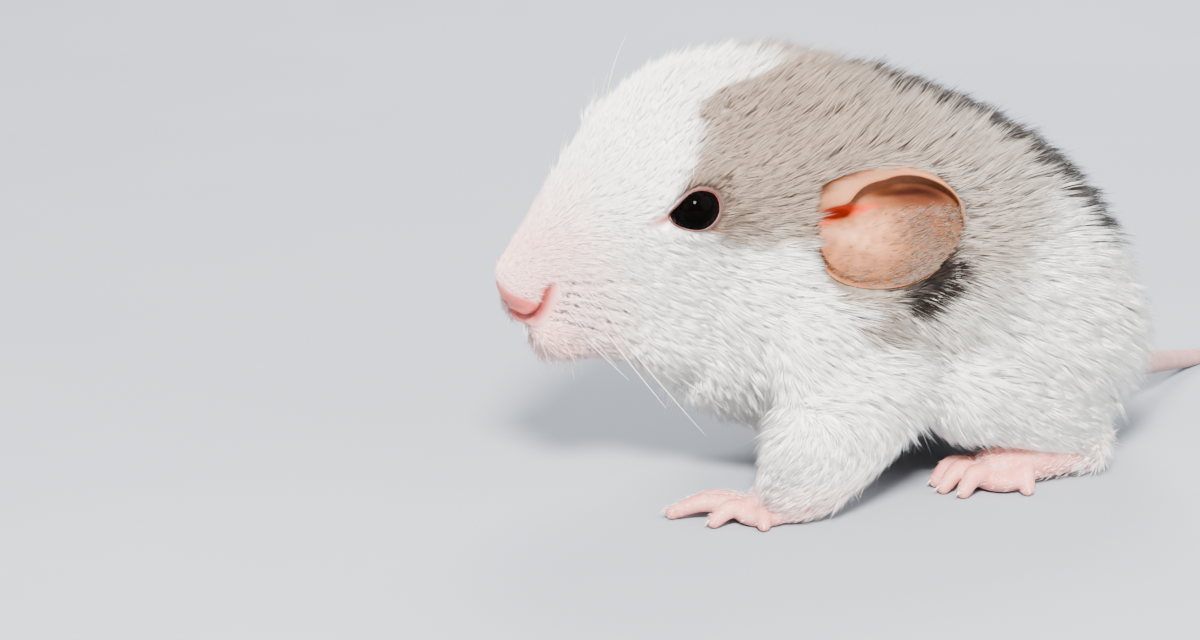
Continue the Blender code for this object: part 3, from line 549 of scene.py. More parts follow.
def marking_group(look):
    """Coat colours from the marking masks, shared by the skin and the coat."""
    name = "rat_markings"
    if name in bpy.data.node_groups:
        return bpy.data.node_groups[name]
    masks = [(mask, "Float") for mask in ("Hood", "Shadow", "Thin", "Along", "Chance")]
    t = new_group(name, "Shader", masks, [("Colour", "Color")])
    given = t.add("NodeGroupInput").outputs
    cream = tinted(look.white, 0.92, 0.89, 0.83)
    white = t.mix(t.math("MULTIPLY", given["Chance"], 0.6), look.white, cream)
    white = t.mix(given["Thin"], white, look.thin)
    hood = t.mix(t.spread(given["Chance"], 0.45, 1.0), look.hood, tinted(look.hood, 0.72, 0.66, 0.60))
    hood = t.mix(t.math("MULTIPLY", given["Along"], 0.5), hood, tinted(look.hood, 1.7))
    # The shadow mask brings in dark hair, and the painted shadow and shade behind and round the ears
    coat = t.mix(given["Shadow"], t.mix(given["Hood"], white, hood), look.dark)
    t.add("NodeGroupOutput", {"Colour": coat})
    return t.tree


def marked_colour(t, look, along, chance):
    """The colour from a mesh's marks, with its masks of hood, shadow and bare skin."""
    marks = t.add("ShaderNodeAttribute", attribute_name="marks").outputs
    split = t.add("ShaderNodeSeparateColor", {"Color": marks["Color"]}).outputs
    hood, shadow, bare = (split[channel] for channel in ("Red", "Green", "Blue"))
    masks = {"Hood": hood, "Shadow": shadow, "Thin": marks["Alpha"], "Along": along, "Chance": chance}
    group = t.add("ShaderNodeGroup", masks, node_tree=marking_group(look))
    return group.outputs["Colour"], hood, shadow, bare


def skin_grain(t):
    """Height and blotches of fine pores and creases, from a group that every bare skin shares."""
    name = "skin_grain"
    if name not in bpy.data.node_groups:
        inner = new_group(name, "Shader", [("Point", "Vector")], [("Height", "Float"), ("Blotch", "Float")])
        point = inner.add("NodeGroupInput").outputs["Point"]
        cells = inner.spread(inner.cells(point, 2.6), 0.0, 0.12)
        height = inner.math("ADD", inner.math("MULTIPLY", cells, 0.7), inner.noise(point, 5.0, 4.0))
        inner.add("NodeGroupOutput", {"Height": height, "Blotch": inner.noise(point, 0.42)})
    group = bpy.data.node_groups[name]
    grain = t.add("ShaderNodeGroup", node_tree=group)
    t.put(t.object_point(), grain.inputs["Point"])
    return grain.outputs["Height"], grain.outputs["Blotch"]


def glow(weight, radius, scale):
    """Shader values for light that passes into the skin, with its scale in metres."""
    return {"Subsurface Weight": weight, "Subsurface Radius": radius, "Subsurface Scale": scale}


def skin_material(look):
    """Skin under the coat: the coat's own colours, lightened under the hood by painted bounce light, turning
    pink and bare at the nose, lips and lids.
    """
    material, t = new_material("rat_skin")
    height, blotch = skin_grain(t)
    strands = t.noise(t.object_point((0.45, 2.0, 2.0)), 3.2)
    colour, hood, shadow, bare = marked_colour(t, look, 0.3, strands)
    pink = t.mix(t.spread(blotch, 0.35, 0.65), look.nose, tinted(look.nose, 1.0, 0.80, 0.78))
    # Creases take a near-black red: painted shade in the grooves, with the nostrils' own deep red
    colour = t.mix(t.attribute("crease"), t.mix(bare, colour, pink), look.crease)
    # Painted bounce light: under the hood the skin is lightened towards white where it is not marked dark, so
    # gaps between tufts show less shade
    painted_bounce_light = t.math("MULTIPLY", t.math("MULTIPLY", hood, 0.12), t.spread(shadow, 0.0, 0.4, 1.0, 0.0))
    t.dress({"Base Color": t.mix(painted_bounce_light, colour, look.white), **glow(0.10, (1.0, 0.35, 0.25), 0.0012)})
    t.dress({"Roughness": t.spread(bare, 0.2, 1.0, 0.72, 0.36), "Normal": t.bump(height, 0.35, 0.10)})
    return material


def coat_material(look):
    """Hair: marking colours by tuft, a little deeper at the root as painted shade, and pink over bare skin.
    """
    material, t = new_material("rat_coat")
    along, chance = t.attribute("along"), t.attribute("chance")
    colour, hood, _, bare = marked_colour(t, look, along, chance)
    colour = t.mix(t.math("MULTIPLY", bare, t.spread(along, 0.0, 1.0, 0.8, 0.3)), colour, look.nose)
    # Painted shade: each tuft darkens a little towards its root, a little more under the hood
    root = t.math("MULTIPLY", t.spread(along, 0.0, 0.5, 1.0, 0.0), t.spread(hood, 0.0, 1.0, 0.06, 0.10))
    t.dress({"Base Color": t.mix(root, colour, tinted(look.hood, 0.45))})
    t.dress({"Roughness": t.spread(chance, 0.0, 1.0, 0.48, 0.66), "Specular IOR Level": 0.18})
    return material


def bare_material(name, colour, flush, roughness, grain_strength, translucence=0.18):
    """Bare skin of the feet and tail: blotched colour, pores and a soft glow."""
    material, t = new_material(name)
    height, blotch = skin_grain(t)
    base = t.mix(t.spread(blotch, 0.36, 0.66), colour, flush)
    t.dress({"Base Color": t.mix(t.attribute("flush"), base, flush)})
    t.dress({"Roughness": t.spread(height, 0.3, 1.3, roughness + 0.08, roughness - 0.06)})
    t.dress({"Normal": t.bump(height, grain_strength, 0.12), **glow(translucence, (1.0, 0.35, 0.22), 0.0015)})
    return material


def ear_material(look):
    """Thin warm ear: red by the canal, brown painted shade in the fold under the rolled rim, a painted
    highlight on its swelling, with fine branching vessels.
    """
    material, t = new_material("rat_ear")
    canal, fold = t.attribute("canal"), t.attribute("fold")
    base = look.ear
    for share, colour in (
        (t.spread(t.noise(t.object_point(), 0.35), 0.35, 0.65), tinted(look.ear, 0.92, 0.80, 0.74)),
        (
            t.spread(t.cells(t.object_point((0.5, 0.5, 1.0)), 0.8), 0.0, 0.06, 0.34, 0.0),
            tinted(look.ear, 0.85, 0.50, 0.42),
        ),
        (t.attribute("tan"), look.ear_tan),
        # Painted highlight on the swelling of the front, and a paler back
        (t.attribute("pale_and_highlight"), tinted(look.ear, 2.2, 2.75, 4.8)),
        (canal, look.canal),
        # Painted shade under the rolled rim
        (fold, look.ear_fold),
    ):
        base = t.mix(share, base, colour)
    fuzz = t.noise(t.object_point((1.0, 3.0, 3.0)), 3.0, 4.0)
    dull = t.spread(t.math("MAXIMUM", canal, fold), 0.2, 0.8, 0.0, 0.45)
    roughness = t.math("ADD", dull, t.spread(fuzz, 0.3, 0.7, 0.56, 0.42))
    t.dress({"Base Color": base, "Roughness": roughness, "Specular IOR Level": 0.2})
    t.dress({"Normal": t.bump(fuzz, 0.30, 0.10), **glow(0.18, (1.0, 0.30, 0.14), 0.0016)})
    return material


def eye_material(look):
    """Very dark, wet eye with a faint brown iris ring."""
    material, t = new_material("rat_eye")
    streaks = t.noise(t.object_point(), 2.4, 4.0)
    brown = t.mix(t.spread(streaks, 0.35, 0.7), look.eye, [c * 2.0 + 0.001 for c in look.eye])
    t.dress({"Base Color": t.mix(t.attribute("iris"), look.eye, brown)})
    t.dress({"Roughness": t.spread(streaks, 0.2, 0.8, 0.03, 0.05), "Specular IOR Level": 0.012})
    return material


def rim_material(look):
    """Dusky pink lid margin."""
    material, t = new_material("rat_lid_rim")
    blotch = t.noise(t.object_point(), 1.6)
    t.dress({"Base Color": t.mix(t.spread(blotch, 0.3, 0.7), look.rim, tinted(look.rim, 0.62))})
    t.dress({"Roughness": t.spread(blotch, 0.3, 0.7, 0.34, 0.46), "Normal": t.bump(blotch, 0.2, 0.05)})
    t.dress({"Specular IOR Level": 0.25})
    return material


def horn_material(name, colour, root_colour, roughness):
    """Claws and whiskers: horn that is deeper in colour at the root."""
    material, t = new_material(name)
    streaks = t.noise(t.object_point(), 4.0, 2.0)
    base = t.mix(t.spread(t.attribute("along"), 0.0, 0.6), root_colour, colour)
    t.dress({"Base Color": t.mix(t.math("MULTIPLY", streaks, 0.25), base, tinted(colour, 0.8))})
    t.dress({"Roughness": t.spread(streaks, 0.3, 0.7, roughness, roughness + 0.08)})
    return material


# The body's form


def whole_form():
    """The furred body out to the tips of its coat, as the solids have it, before they are parted."""
    parts = [station_loft(HEAD_STATIONS, HEAD_FULLNESS, True), station_loft(TORSO_STATIONS, TORSO_FULLNESS)]
    parts += [ball(*CHIN, in_head=True), ball(*TAIL_BASE)]
    for name, side in SIDES.items():
        for centre, radii in (WHISKER_PAD, CHEEK):
            parts.append(ball(on_side(centre, side), radii, in_head=True))
        for centre, radii in MASSES[name]:
            parts.append(ball(on_side(centre, side), radii))
        for rows in LIMBS[name]:
            parts += beads(rows, side, 12)
    return fused("skin", parts, 0.7, 7)


def coat_depth(points, look):
    """How deep the coat is over each point of the form, least on the face and the feet."""
    head = body_to_head(points)
    face = np.interp(head[:, 0], (0, 3, 8, 14, 20, 28, 36), (0.12, 0.3, 0.6, 0.9, 1.25, 1.9, 2.6))
    low = np.interp(points[:, 2], (0, 3, 7, 12, 20, 28), (0.9, 1.0, 1.15, 1.6, 2.4, FULL_DEPTH))
    body = ramp(points[:, 0], -16.0, -4.0)
    return np.minimum(face * (1 - body) + FULL_DEPTH * body, low) * look.coat_depth / FULL_DEPTH


def refined(mesh, zones):
    """Splits the faces whose middle lies in each zone in turn, so that the face can hold fine forms."""
    work = bmesh.new()
    work.from_mesh(mesh)
    for inside in zones:
        middles = np.array([f.calc_center_median() for f in work.faces])
        chosen = inside(body_to_head(middles))
        edges = {e for f, take in zip(work.faces, chosen) if take for e in f.edges}
        bmesh.ops.subdivide_edges(work, edges=list(edges), cuts=1, use_grid_fill=True)
    bmesh.ops.triangulate(work, faces=[f for f in work.faces if len(f.verts) > 4])
    work.to_mesh(mesh)
    work.free()


def relaxed(points, edges, weight, rounds):
    """Moves each point towards the mean of its neighbours by its weight."""
    count = np.bincount(edges.ravel(), minlength=len(points))[:, None]
    for _ in range(rounds):
        total = np.zeros_like(points)
        np.add.at(total, edges[:, 0], points[edges[:, 1]])
        np.add.at(total, edges[:, 1], points[edges[:, 0]])
        points = points + (total / np.maximum(count, 1) - points) * weight[:, None]
    return points


def eye_axes(side):
    """The eye's centre and its outward, forward and upward directions, in the head frame."""
    out = unit(on_side(EYE_OUTWARD, side))
    centre = on_side(EYE_CENTRE, side) - out * EYE_INSET[side]
    ahead = np.array((-1, 0, -0.30))
    forward = unit(ahead - out * out.dot(ahead))
    return centre, out, forward, np.cross(out, forward) * side


def lid_angle(around, side):
    """How far the lids are open, in degrees from the eye's middle, in each direction round it."""
    back, tall, front = LID_OPENING["left" if side < 0 else "right"]
    ahead, high = np.cos(around), np.sin(around)
    length = np.where(ahead > 0, front, back)
    height = tall * (1.0 - 0.34 * np.maximum(0.0, ahead) ** 1.5)
    return 1.0 / np.sqrt((ahead / length) ** 2 + (high / height) ** 2)


def lid_share(head, side):
    """Degrees beyond the lid's edge and distance from the eye's centre, for points in the head frame."""
    centre, out, forward, up = eye_axes(side)
    away = head - centre
    distance = np.linalg.norm(away, axis=1)
    way = away / np.maximum(distance, 1e-6)[:, None]
    polar = np.degrees(np.arccos(np.clip(way @ out, -1, 1)))
    around = np.arctan2(way @ up, way @ forward)
    return polar - lid_angle(around, side), distance, way


def lid_corner(beyond, distance, way, side):
    """The narrow point of bare skin in front of the eye's inner corner."""
    _, _, forward, up = eye_axes(side)
    around = np.arctan2(way @ up, way @ forward)
    return bell(around, 0.12) * (1 - ramp(beyond, 5.0, 17.0)) * (distance < LID_REACH)


def shape_lids(head, side):
    """Draws the skin over the eyeball up to the almond edge of the lids, and under the ball inside it."""
    beyond, distance, way = lid_share(head, side)
    lid, inside = EYE_RADIUS + LID_THICKNESS, EYE_RADIUS - 0.5
    rise = inside + (lid - inside) * ramp(beyond, -8.0, 1.0)
    fold = rise + 0.14 * bell(beyond - 13.0, 6.0) - 0.10 * bell(beyond - 24.0, 6.0)
    blend = ramp(beyond, 10.0, 42.0)
    target = np.where(distance < LID_REACH + 1.5, fold * (1 - blend) + distance * blend, distance)
    return head + way * (target - distance)[:, None]


def head_tree(head, triangles):
    """The skin in the head's frame, to be looked in on."""
    return BVHTree.FromPolygons([Vector(p) for p in head], triangles.tolist())


def face_tree():
    """The finished skin in the head's frame, to be looked in on."""
    points, triangles = mesh_arrays(bpy.data.objects["skin"].data)
    return head_tree(body_to_head((points - SHIFT) / MM), triangles)


def face_point(tree, x, turn, side, height=WHISKER_AXIS_HEIGHT):
    """The skin's point and normal at x along the head, at an angle round from straight below."""
    turn = math.radians(turn)
    out = np.array((0.0, side * math.sin(turn), -math.cos(turn)))
    hit, normal, _, _ = tree.ray_cast(Vector(np.array((x, 0, height)) + out * 40), Vector(-out))
    return None if hit is None else (np.array(hit), np.array(normal))


def whisker_roots(tree):
    """The rows of follicles on the whisker pads: point, normal, side, row and place in the row."""
    found = []
    for side in SIDES.values():
        for row in range(WHISKER_ROWS):
            for place in range(bpy.context.scene.rat_look.whiskers // WHISKER_ROWS):
                x, turn = 5.3 + 1.25 * place + 0.3 * row, 80.0 + 12.0 * row - 1.5 * place
                found.append((*face_point(tree, x, turn, side), side, row, place))
    return found


def skin_lines(tree, stops):
    """A line on the face for each side, through the stops."""
    lines = []
    for side in SIDES.values():
        found = [face_point(tree, x, turn, side, FACE_AXIS_HEIGHT)[0] for x, turn in stops]
        lines.append(smooth_rows(found, 40))
    return lines


def line_distance(points, line):
    """Distance from each point to the nearest point of a line, and its place along it."""
    reach, batch = 4.0, 4000
    distance = np.full(len(points), 99.0)
    place = np.zeros(len(points))
    low, high = line.min(0) - reach, line.max(0) + reach
    near = np.nonzero(np.all((points > low) & (points < high), axis=1))[0]
    for start in range(0, len(near), batch):
        part = near[start : start + batch]
        gaps = np.linalg.norm(points[part][:, None] - line[None], axis=2)
        distance[part], place[part] = gaps.min(1), gaps.argmin(1) / (len(line) - 1)
    return distance, place


def shaped_face(mesh):
    """Carves lids, nostrils, the cleft and the mouth. Returns the masks of bare skin and of creases, whose
    dark is partly painted shade in the grooves.
    """
    points, triangles = mesh_arrays(mesh)
    head = body_to_head(points)
    for side in SIDES.values():
        head = shape_lids(head, side)
    tree = head_tree(head, triangles)
    move_points(mesh, head_to_body(head))
    normals = mesh_normals(mesh) @ HEAD_TURN
    x, _, z = head.T
    bare = (1 - ramp(x, 3.0, 4.2)) * (1 - ramp(z + 0.3 * x, -0.9, 0.5)) * ramp(z, -6.2, -5.0)
    crease, push = np.zeros(len(head)), np.zeros(len(head))
    # The crease mask puts painted shade into the grooves of the nostrils, mouth and cleft, and the nostrils'
    # own deep red round them
    for line in skin_lines(tree, NOSTRIL_STOPS):
        gap, place = line_distance(head, line)
        width = 0.60 * (1 - 0.50 * place)
        cut = -0.95 * bell(gap, width) * (1 - 0.5 * place)
        push += cut + 0.26 * bell(gap - 1.05, 0.42) * (1 - 0.4 * place)
        halo = 0.50 * bell(gap, 1.30) * (1 - 0.45 * place)
        crease = np.maximum(crease, np.maximum(bell(gap, width * 1.15) * (1 - 0.3 * place), halo))
        bare = np.maximum(bare, 0.95 * bell(gap, 1.25))
    for line in skin_lines(tree, MOUTH_STOPS):
        gap, place = line_distance(head, line)
        fade = 1 - 0.4 * place
        push += -0.80 * bell(gap, 0.42) * fade + 0.25 * bell(gap - 0.9, 0.4)
        crease = np.maximum(crease, bell(gap, 0.52) * fade)
        bare = np.maximum(bare, 0.95 * bell(gap, 0.95) * fade)
    gap, _ = line_distance(head, skin_lines(tree, PHILTRUM_STOPS)[0])
    push += -0.45 * bell(gap, 0.26) + 0.10 * bell(gap - 0.7, 0.4)
    crease = np.maximum(crease, 0.6 * bell(gap, 0.26))
    for side in SIDES.values():
        beyond, distance, way = lid_share(head, side)
        near = distance < LID_REACH
        corner = 0.75 * lid_corner(beyond, distance, way, side)
        bare = np.maximum(bare, np.maximum(0.55 * (1 - ramp(beyond, 0.0, 3.0)) * near, corner))
        crease = np.maximum(crease, np.maximum(0.45 * (1 - ramp(beyond, 0.0, 7.0)) * near, corner))
    move_points(mesh, head_to_body(head + normals * push[:, None]))
    return np.clip(bare, 0, 1), np.clip(crease, 0, 1)


def face_zone(head):
    """Where the skin's faces are split once."""
    x, y, z = head.T
    return (x < 27.0) & (np.abs(y) < 18) & (z < 26) & (z > -20)


def fine_zone(head):
    """Where they are split again: the nose, the mouth and round the eyes."""
    x, _, z = head.T
    fine = (x < 6.5) | ((x < 13.0) & (z < -5.0))
    for side in SIDES.values():
        fine |= np.linalg.norm(head - on_side(EYE_CENTRE, side), axis=1) < LID_REACH + 0.2
    return fine


def make_skin(look):
    """The skin: the whole form drawn in by the coat's depth, with its face carved and its marks set."""
    obj = whole_form()
    points, _ = mesh_arrays(obj.data)
    move_points(obj.data, points - mesh_normals(obj.data) * coat_depth(points, look)[:, None])
    mesh = remeshed(obj, look.skin_voxel, 2).data
    refined(mesh, (face_zone, fine_zone))
    points, _ = mesh_arrays(mesh)
    weight = 0.5 * (1 - ramp(body_to_head(points)[:, 0], 26.0, 30.0))
    points = cleared_of_ears(relaxed(points, values_of(mesh.edges, "vertices", 2, np.int32), weight, 3))
    points[:, 2] = np.maximum(points[:, 2], SKIN_FLOOR)
    move_points(mesh, points)
    bare, crease = shaped_face(mesh)
    points, triangles = mesh_arrays(mesh)
    hood, shadow = markings(points)
    # Dark at the whiskers' roots and round the lids, and painted shade on the hood round each ear
    head = body_to_head(points)
    places = [row[0] for row in whisker_roots(head_tree(head, triangles))]
    gap = np.min([np.linalg.norm(head - place, axis=1) for place in places], axis=0)
    shadow = np.maximum(shadow, 0.75 * bell(gap, 0.26))
    for name, side in SIDES.items():
        beyond, distance, _ = lid_share(head, side)
        lid = (1 - ramp(beyond, 5.0, 13.0)) * (distance < LID_REACH)
        shadow = np.maximum(shadow, 0.80 * lid * (0.35 + 0.65 * hood))
        local, _, away = over_ear(points, name)
        # Painted shade on the hood along each ear's edge
        shadow = np.maximum(shadow, 0.5 * hood * bell(away - 1.06, 0.16) * (np.abs(local[:, 2]) < 6))
    set_attribute(mesh, "marks", np.stack([hood, shadow, bare, thin_coat(points)], 1), "FLOAT_COLOR")
    set_attribute(mesh, "crease", crease)
    return obj


# Markings


def markings(points):
    """How far each place of the body belongs to the grey hood, and to its dark fringe and other dark marks
    with the painted shadow behind each ear, from 0 to 1.
    """
    head = body_to_head(points)
    along_head, across_head, above = head.T
    ragged = waves(points, 9.0, 3) * 1.3 + waves(points, 3.2, 4) * 0.6
    # On the head it starts behind the eye, and a white blaze runs back along the crown
    crown_at = (-7.8, -5.3, -3.0, -2.0, -0.3, 6.0, 9.0, 12.0)
    crown = np.interp(across_head, crown_at, (20.5, 19.8, 21.6, 28.2, 37.0, 36.0, 29.0, 22.0))
    brow = np.interp(above, (9.5, 12.0, 14.8, 17.5, 20.5), (21.0, 16.5, 15.8, 18.2, 20.5))
    front = crown + (brow - crown) * ramp(np.abs(across_head), 7.0, 8.8) * (across_head < 0)
    over = ramp(along_head - front + ragged, -1.6, 1.8)
    under_at = (15.0, 18.0, 20.8, 26.0, 31.0, 36.0, 44.0)
    under = np.interp(along_head, under_at, (12.5, 10.6, 8.9, 7.9, 7.2, 6.0, 3.0))
    on_head = over * ramp(above - under + ragged, -1.5, 1.5)
    # On the trunk it thins out towards the flank and the rump
    x, y, z = points.T
    edge_at = (-14.0, -6.0, 0.0, 6.0, 10.0, 13.0, 18.0, 26.0, 34.0)
    edge = np.interp(x, edge_at, (28.0, 21.0, 18.5, 18.5, 23.0, 29.0, 34.0, 36.0, 37.0))
    soft = np.interp(x, (-10.0, 4.0, 16.0, 30.0), (1.5, 3.0, 5.0, 5.0))
    t = np.clip((z - edge + ragged * 1.4 + soft) / (2 * soft), 0, 1)
    on_trunk = t * t * (3 - 2 * t) * (1 - ramp(x + ragged, 27.0, 33.0))
    body = ramp(x, -17.0, -9.0)
    hood = on_head * (1 - body) + on_trunk * body
    hood = hood * np.interp(x, (-10.0, 5.0, 18.0, 32.0), (1.0, 0.9, 0.72, 0.55))
    hood = np.clip(hood * (1 - 0.45 * ramp(x, -8.0, 0.0) * ramp(-z, -31.0, -24.0)), 0, 1)
    # The dark line over the back, the dusky ring round the eyes, and behind each ear a painted shadow of the
    # ear with some dark fur
    middle = np.interp(x, (-8.0, 4.0, 12.0, 18.0, 25.0, 31.0), (-0.5, -2.2, -3.8, -6.4, -9.4, -13.0))
    spine = (1 - ramp(np.abs(y - middle) + ragged, 5.0, 7.2)) * ramp(x, -7.0, 2.0)
    spine = spine * (1 - ramp(x + ragged, 28.0, 34.0)) * ramp(z, 26.0, 32.0)
    shadow = spine * (0.85 + 0.25 * waves(points, 2.6, 5))
    for side in SIDES.values():
        beyond, distance, _ = lid_share(head, side)
        shadow = np.maximum(shadow, 0.34 * bell(beyond - 2.0, 8.0) * (distance < LID_REACH))
    # Behind each ear: a painted shadow that the ear casts on the hood, partly dark fur
    ahead, above = x - 0.6, z - 27.9
    along, across = ahead * 0.86 + above * 0.51, above * 0.86 - ahead * 0.51
    ear_shadow_and_dark_fur = (1 - ramp(np.hypot(along / 5.5, across / 3.5) + 0.10 * ragged, 0.75, 1.1)) * (np.abs(y) > 8)
    return hood, np.clip(np.maximum(shadow, ear_shadow_and_dark_fur), 0, 1)


def thin_coat(points):
    """How much pink skin shows through the short white hair of the muzzle, chin and toes."""
    head = body_to_head(points)
    muzzle = (1 - ramp(head[:, 0] + 0.30 * head[:, 2], 3.0, 16.0)) * 0.95
    legs = 0.55 * (1 - ramp(points[:, 2], 3.0, 8.0))
    return np.clip(np.maximum(muzzle, legs) + 0.10 * waves(points, 5.0, 8) * (muzzle > 0.02), 0, 1)


# Ears


def ear_frame(name):
    """The ear's root and its directions: towards the far rim, up along the ear, and out of its open face."""
    along, out = (unit(d) for d in EAR_DIRECTIONS[name])
    out = unit(out - along * along.dot(out))
    high = np.cross(out, along)
    high = high if high[2] > 0 else -high
    return head_to_body(on_side(EAR_ROOT, SIDES[name])), np.stack([along, high, out])


def to_ear(points, name):
    root, axes = ear_frame(name)
    return (points - root) @ axes.T


def ear_corner(across, up):
    """How square the rim is in each quarter: under 1 is squarer than an ellipse, over 1 is flatter."""
    upper, lower = (np.where(across < 0, *EAR_CORNERS[half]) for half in ("upper", "lower"))
    return np.where(up > 0, upper, lower)


def ear_floor(x, y):
    """Height of the dish over the ear's own plane, and the place's distance from the middle, 1 at the rim."""
    across, up = (x - EAR_CENTRE[0]) / EAR_HALF_LENGTH, (y - EAR_CENTRE[1]) / EAR_HALF_HEIGHT
    up = np.where(up < 0, up / EAR_LOWER, up)
    power = 2 / ear_corner(across, up)
    away = (np.abs(across) ** power + np.abs(up) ** power) ** (1 / power)
    return -EAR_DEPTH * (1.0 - np.minimum(away, 1.0) ** 1.8), away


def over_ear(points, name):
    """Places in an ear's frame, the height of its dish at each, and how far out each is, 1 at the rim."""
    local = to_ear(points, name)
    return local, *ear_floor(local[:, 0], local[:, 1])


def cleared_of_ears(points):
    """Presses the skin back behind each ear's dish."""
    for name in SIDES:
        root, axes = ear_frame(name)
        local, floor, away = over_ear(points, name)
        limit = floor - EAR_THICKNESS - 0.35
        over = (local[:, 2] > limit) & (away < 1.22) & (local[:, 2] < 12)
        share = 1 - ramp(away, 1.0, 1.22)
        local[:, 2] = np.where(over, local[:, 2] + (limit - local[:, 2]) * share, local[:, 2])
        points = local @ axes + root
    return points


def ear_sheet(angle, share, back):
    """A point of the ear: angle goes round the rim, share runs from the canal (0) to the rolled rim (1)."""
    cosine, sine = np.cos(angle), np.sin(angle)
    square = ear_corner(cosine, sine)
    rim_x = EAR_CENTRE[0] + EAR_HALF_LENGTH * signed_power(cosine, square)
    rim_y = EAR_CENTRE[1] + EAR_HALF_HEIGHT * np.where(sine < 0, EAR_LOWER, 1.0) * signed_power(sine, square)
    flat = np.minimum(share / EAR_FLAT, 1.0)
    x = EAR_CANAL[0] + (rim_x - EAR_CANAL[0]) * flat**0.92
    y = EAR_CANAL[1] + (rim_y - EAR_CANAL[1]) * flat**0.92
    front = back == 0
    floor, _ = ear_floor(x, y)
    # The rim rolls over widely in front, and less and more openly behind
    in_front = bell(np.degrees(angle) - 130.0, 48.0)
    behind = bell(np.degrees(angle) - 50.0, 42.0)
    beyond = np.maximum(0.0, share - EAR_FLAT) / (1 - EAR_FLAT)
    turn = np.radians(30 + 150 * in_front + 90 * behind) * np.minimum(beyond / 0.55, 1.0)
    radius = 0.40 + 1.0 * in_front + 0.55 * behind
    outward = (radius + back) * np.sin(turn) - 2.3 * in_front * np.maximum(0.0, beyond - 0.55) / 0.45
    way_x, way_y = rim_x - EAR_CENTRE[0], rim_y - EAR_CENTRE[1]
    length = np.hypot(way_x, way_y)
    x = x + way_x / length * outward
    y = y + way_y / length * outward
    height = floor * (0.45 if front else 1.0) + radius * (1 - np.cos(turn)) - back * np.cos(turn)
    if front:
        # The swelling of the middle, the gutter under the rim, the slit of the canal and fine ridges
        on_flat = 1 - ramp(share, EAR_FLAT - 0.14, EAR_FLAT)
        for form in (
            3.3 * spot((x - 4.9) / 5.6, (y + 1.5) / 4.1),
            -1.5 * bell(y - 3.5 + 0.04 * x, 0.9) * ramp(x, 4.5, 8.0),
            -2.2 * spot((x - 1.6) / 3.0, (y - 1.8) / 0.75),
            0.10 * np.sin(x * 1.9 + y * 0.7) * ramp(x, 7.0, 11.0),
        ):
            height = height + form * on_flat
        height = np.maximum(height, floor - 0.3)
    height = height + 0.22 * np.sin(angle * 5 + 0.7) * flat**4 * (1 - in_front) * (1 - behind)
    return np.stack([x, y, height], -1)


def ear_colours(points, front):
    """How red, how dark brown, how tan and how pale the ear is at each point, in its own frame: the dark
    brown is painted shade under the rolled rim, and the pale holds a painted highlight on the swelling.
    """
    x, y, _ = points.T
    canal = np.hypot((x - 2.2) / 4.4, (y - 1.80 - 0.11 * x) / np.interp(x, (0, 7), (1.0, 0.5)))
    canal = (1 - ramp(canal, 0.55, 1.35)) * front
    # Painted shade in the gutter under the rolled rim
    fold = spot((x - 11.6) / 4.8, (y - 4.05 + 0.06 * x) / 1.5) * front
    # Painted highlight on the swelling in the middle of the front
    pale_and_highlight = spot((x - 4.9) / 4.2, (y + 1.4) / 3.6) * front * (0.8 + 0.5 * waves(points, 2.6, 52))
    tan = 0.75 * ramp(x, 7.0, 13.0) + 0.55 * spot((x - 9.5) / 6.5, (y + 6.6) / 1.9)
    tan = (tan + 0.35 * waves(points, 3.5, 51) * ramp(x, 5.0, 9.0)) * (0.35 + 0.65 * front)
    pale_and_highlight = np.maximum(pale_and_highlight, 0.45 * (1 - front))
    return [np.clip(share, 0, 1) for share in (canal, fold * 1.25, tan, pale_and_highlight * (1 - canal))]


def make_ear(name, look):
    """A closed ear: a front and a back sheet, each fanned from its middle, joined round the rim."""
    rows, steps = 46, 130
    angle = np.linspace(0, 2 * math.pi, steps, endpoint=False)
    turn, reach = np.meshgrid(angle, np.linspace(0.0, 1.0, rows + 1)[1:])
    sheets = []
    for back in (0.0, look.ear_thickness):
        sheets += [ear_sheet(np.zeros(1), np.zeros(1), back), ear_sheet(turn, reach, back).reshape(-1, 3)]
    points = np.vstack(sheets)
    half = len(points) // 2
    faces = []
    for k in range(steps):
        after = (k + 1) % steps
        faces.append((0, 1 + k, 1 + after))
        faces.append((half, half + 1 + after, half + 1 + k))
        for r in range(rows - 1):
            low, high = 1 + r * steps, 1 + (r + 1) * steps
            faces.append((low + k, high + k, high + after, low + after))
            faces.append((half + low + k, half + low + after, half + high + after, half + high + k))
        last = 1 + (rows - 1) * steps
        faces.append((last + k, half + last + k, half + last + after, last + after))
    root, axes = ear_frame(name)
    mesh = array_mesh(f"ear_{name}", points @ axes + root, faces)
    face_outward(mesh)
    shares = ear_colours(points, np.arange(len(points)) < half)
    for label, share in zip(("canal", "fold", "tan", "pale_and_highlight"), shares):
        set_attribute(mesh, label, share)
    return new_object(f"ear_skin_{name}", mesh)


# The coat


def along_skin(way, normals):
    """The part of each direction that runs along the skin."""
    return unit(way - (way * normals).sum(1)[:, None] * normals)


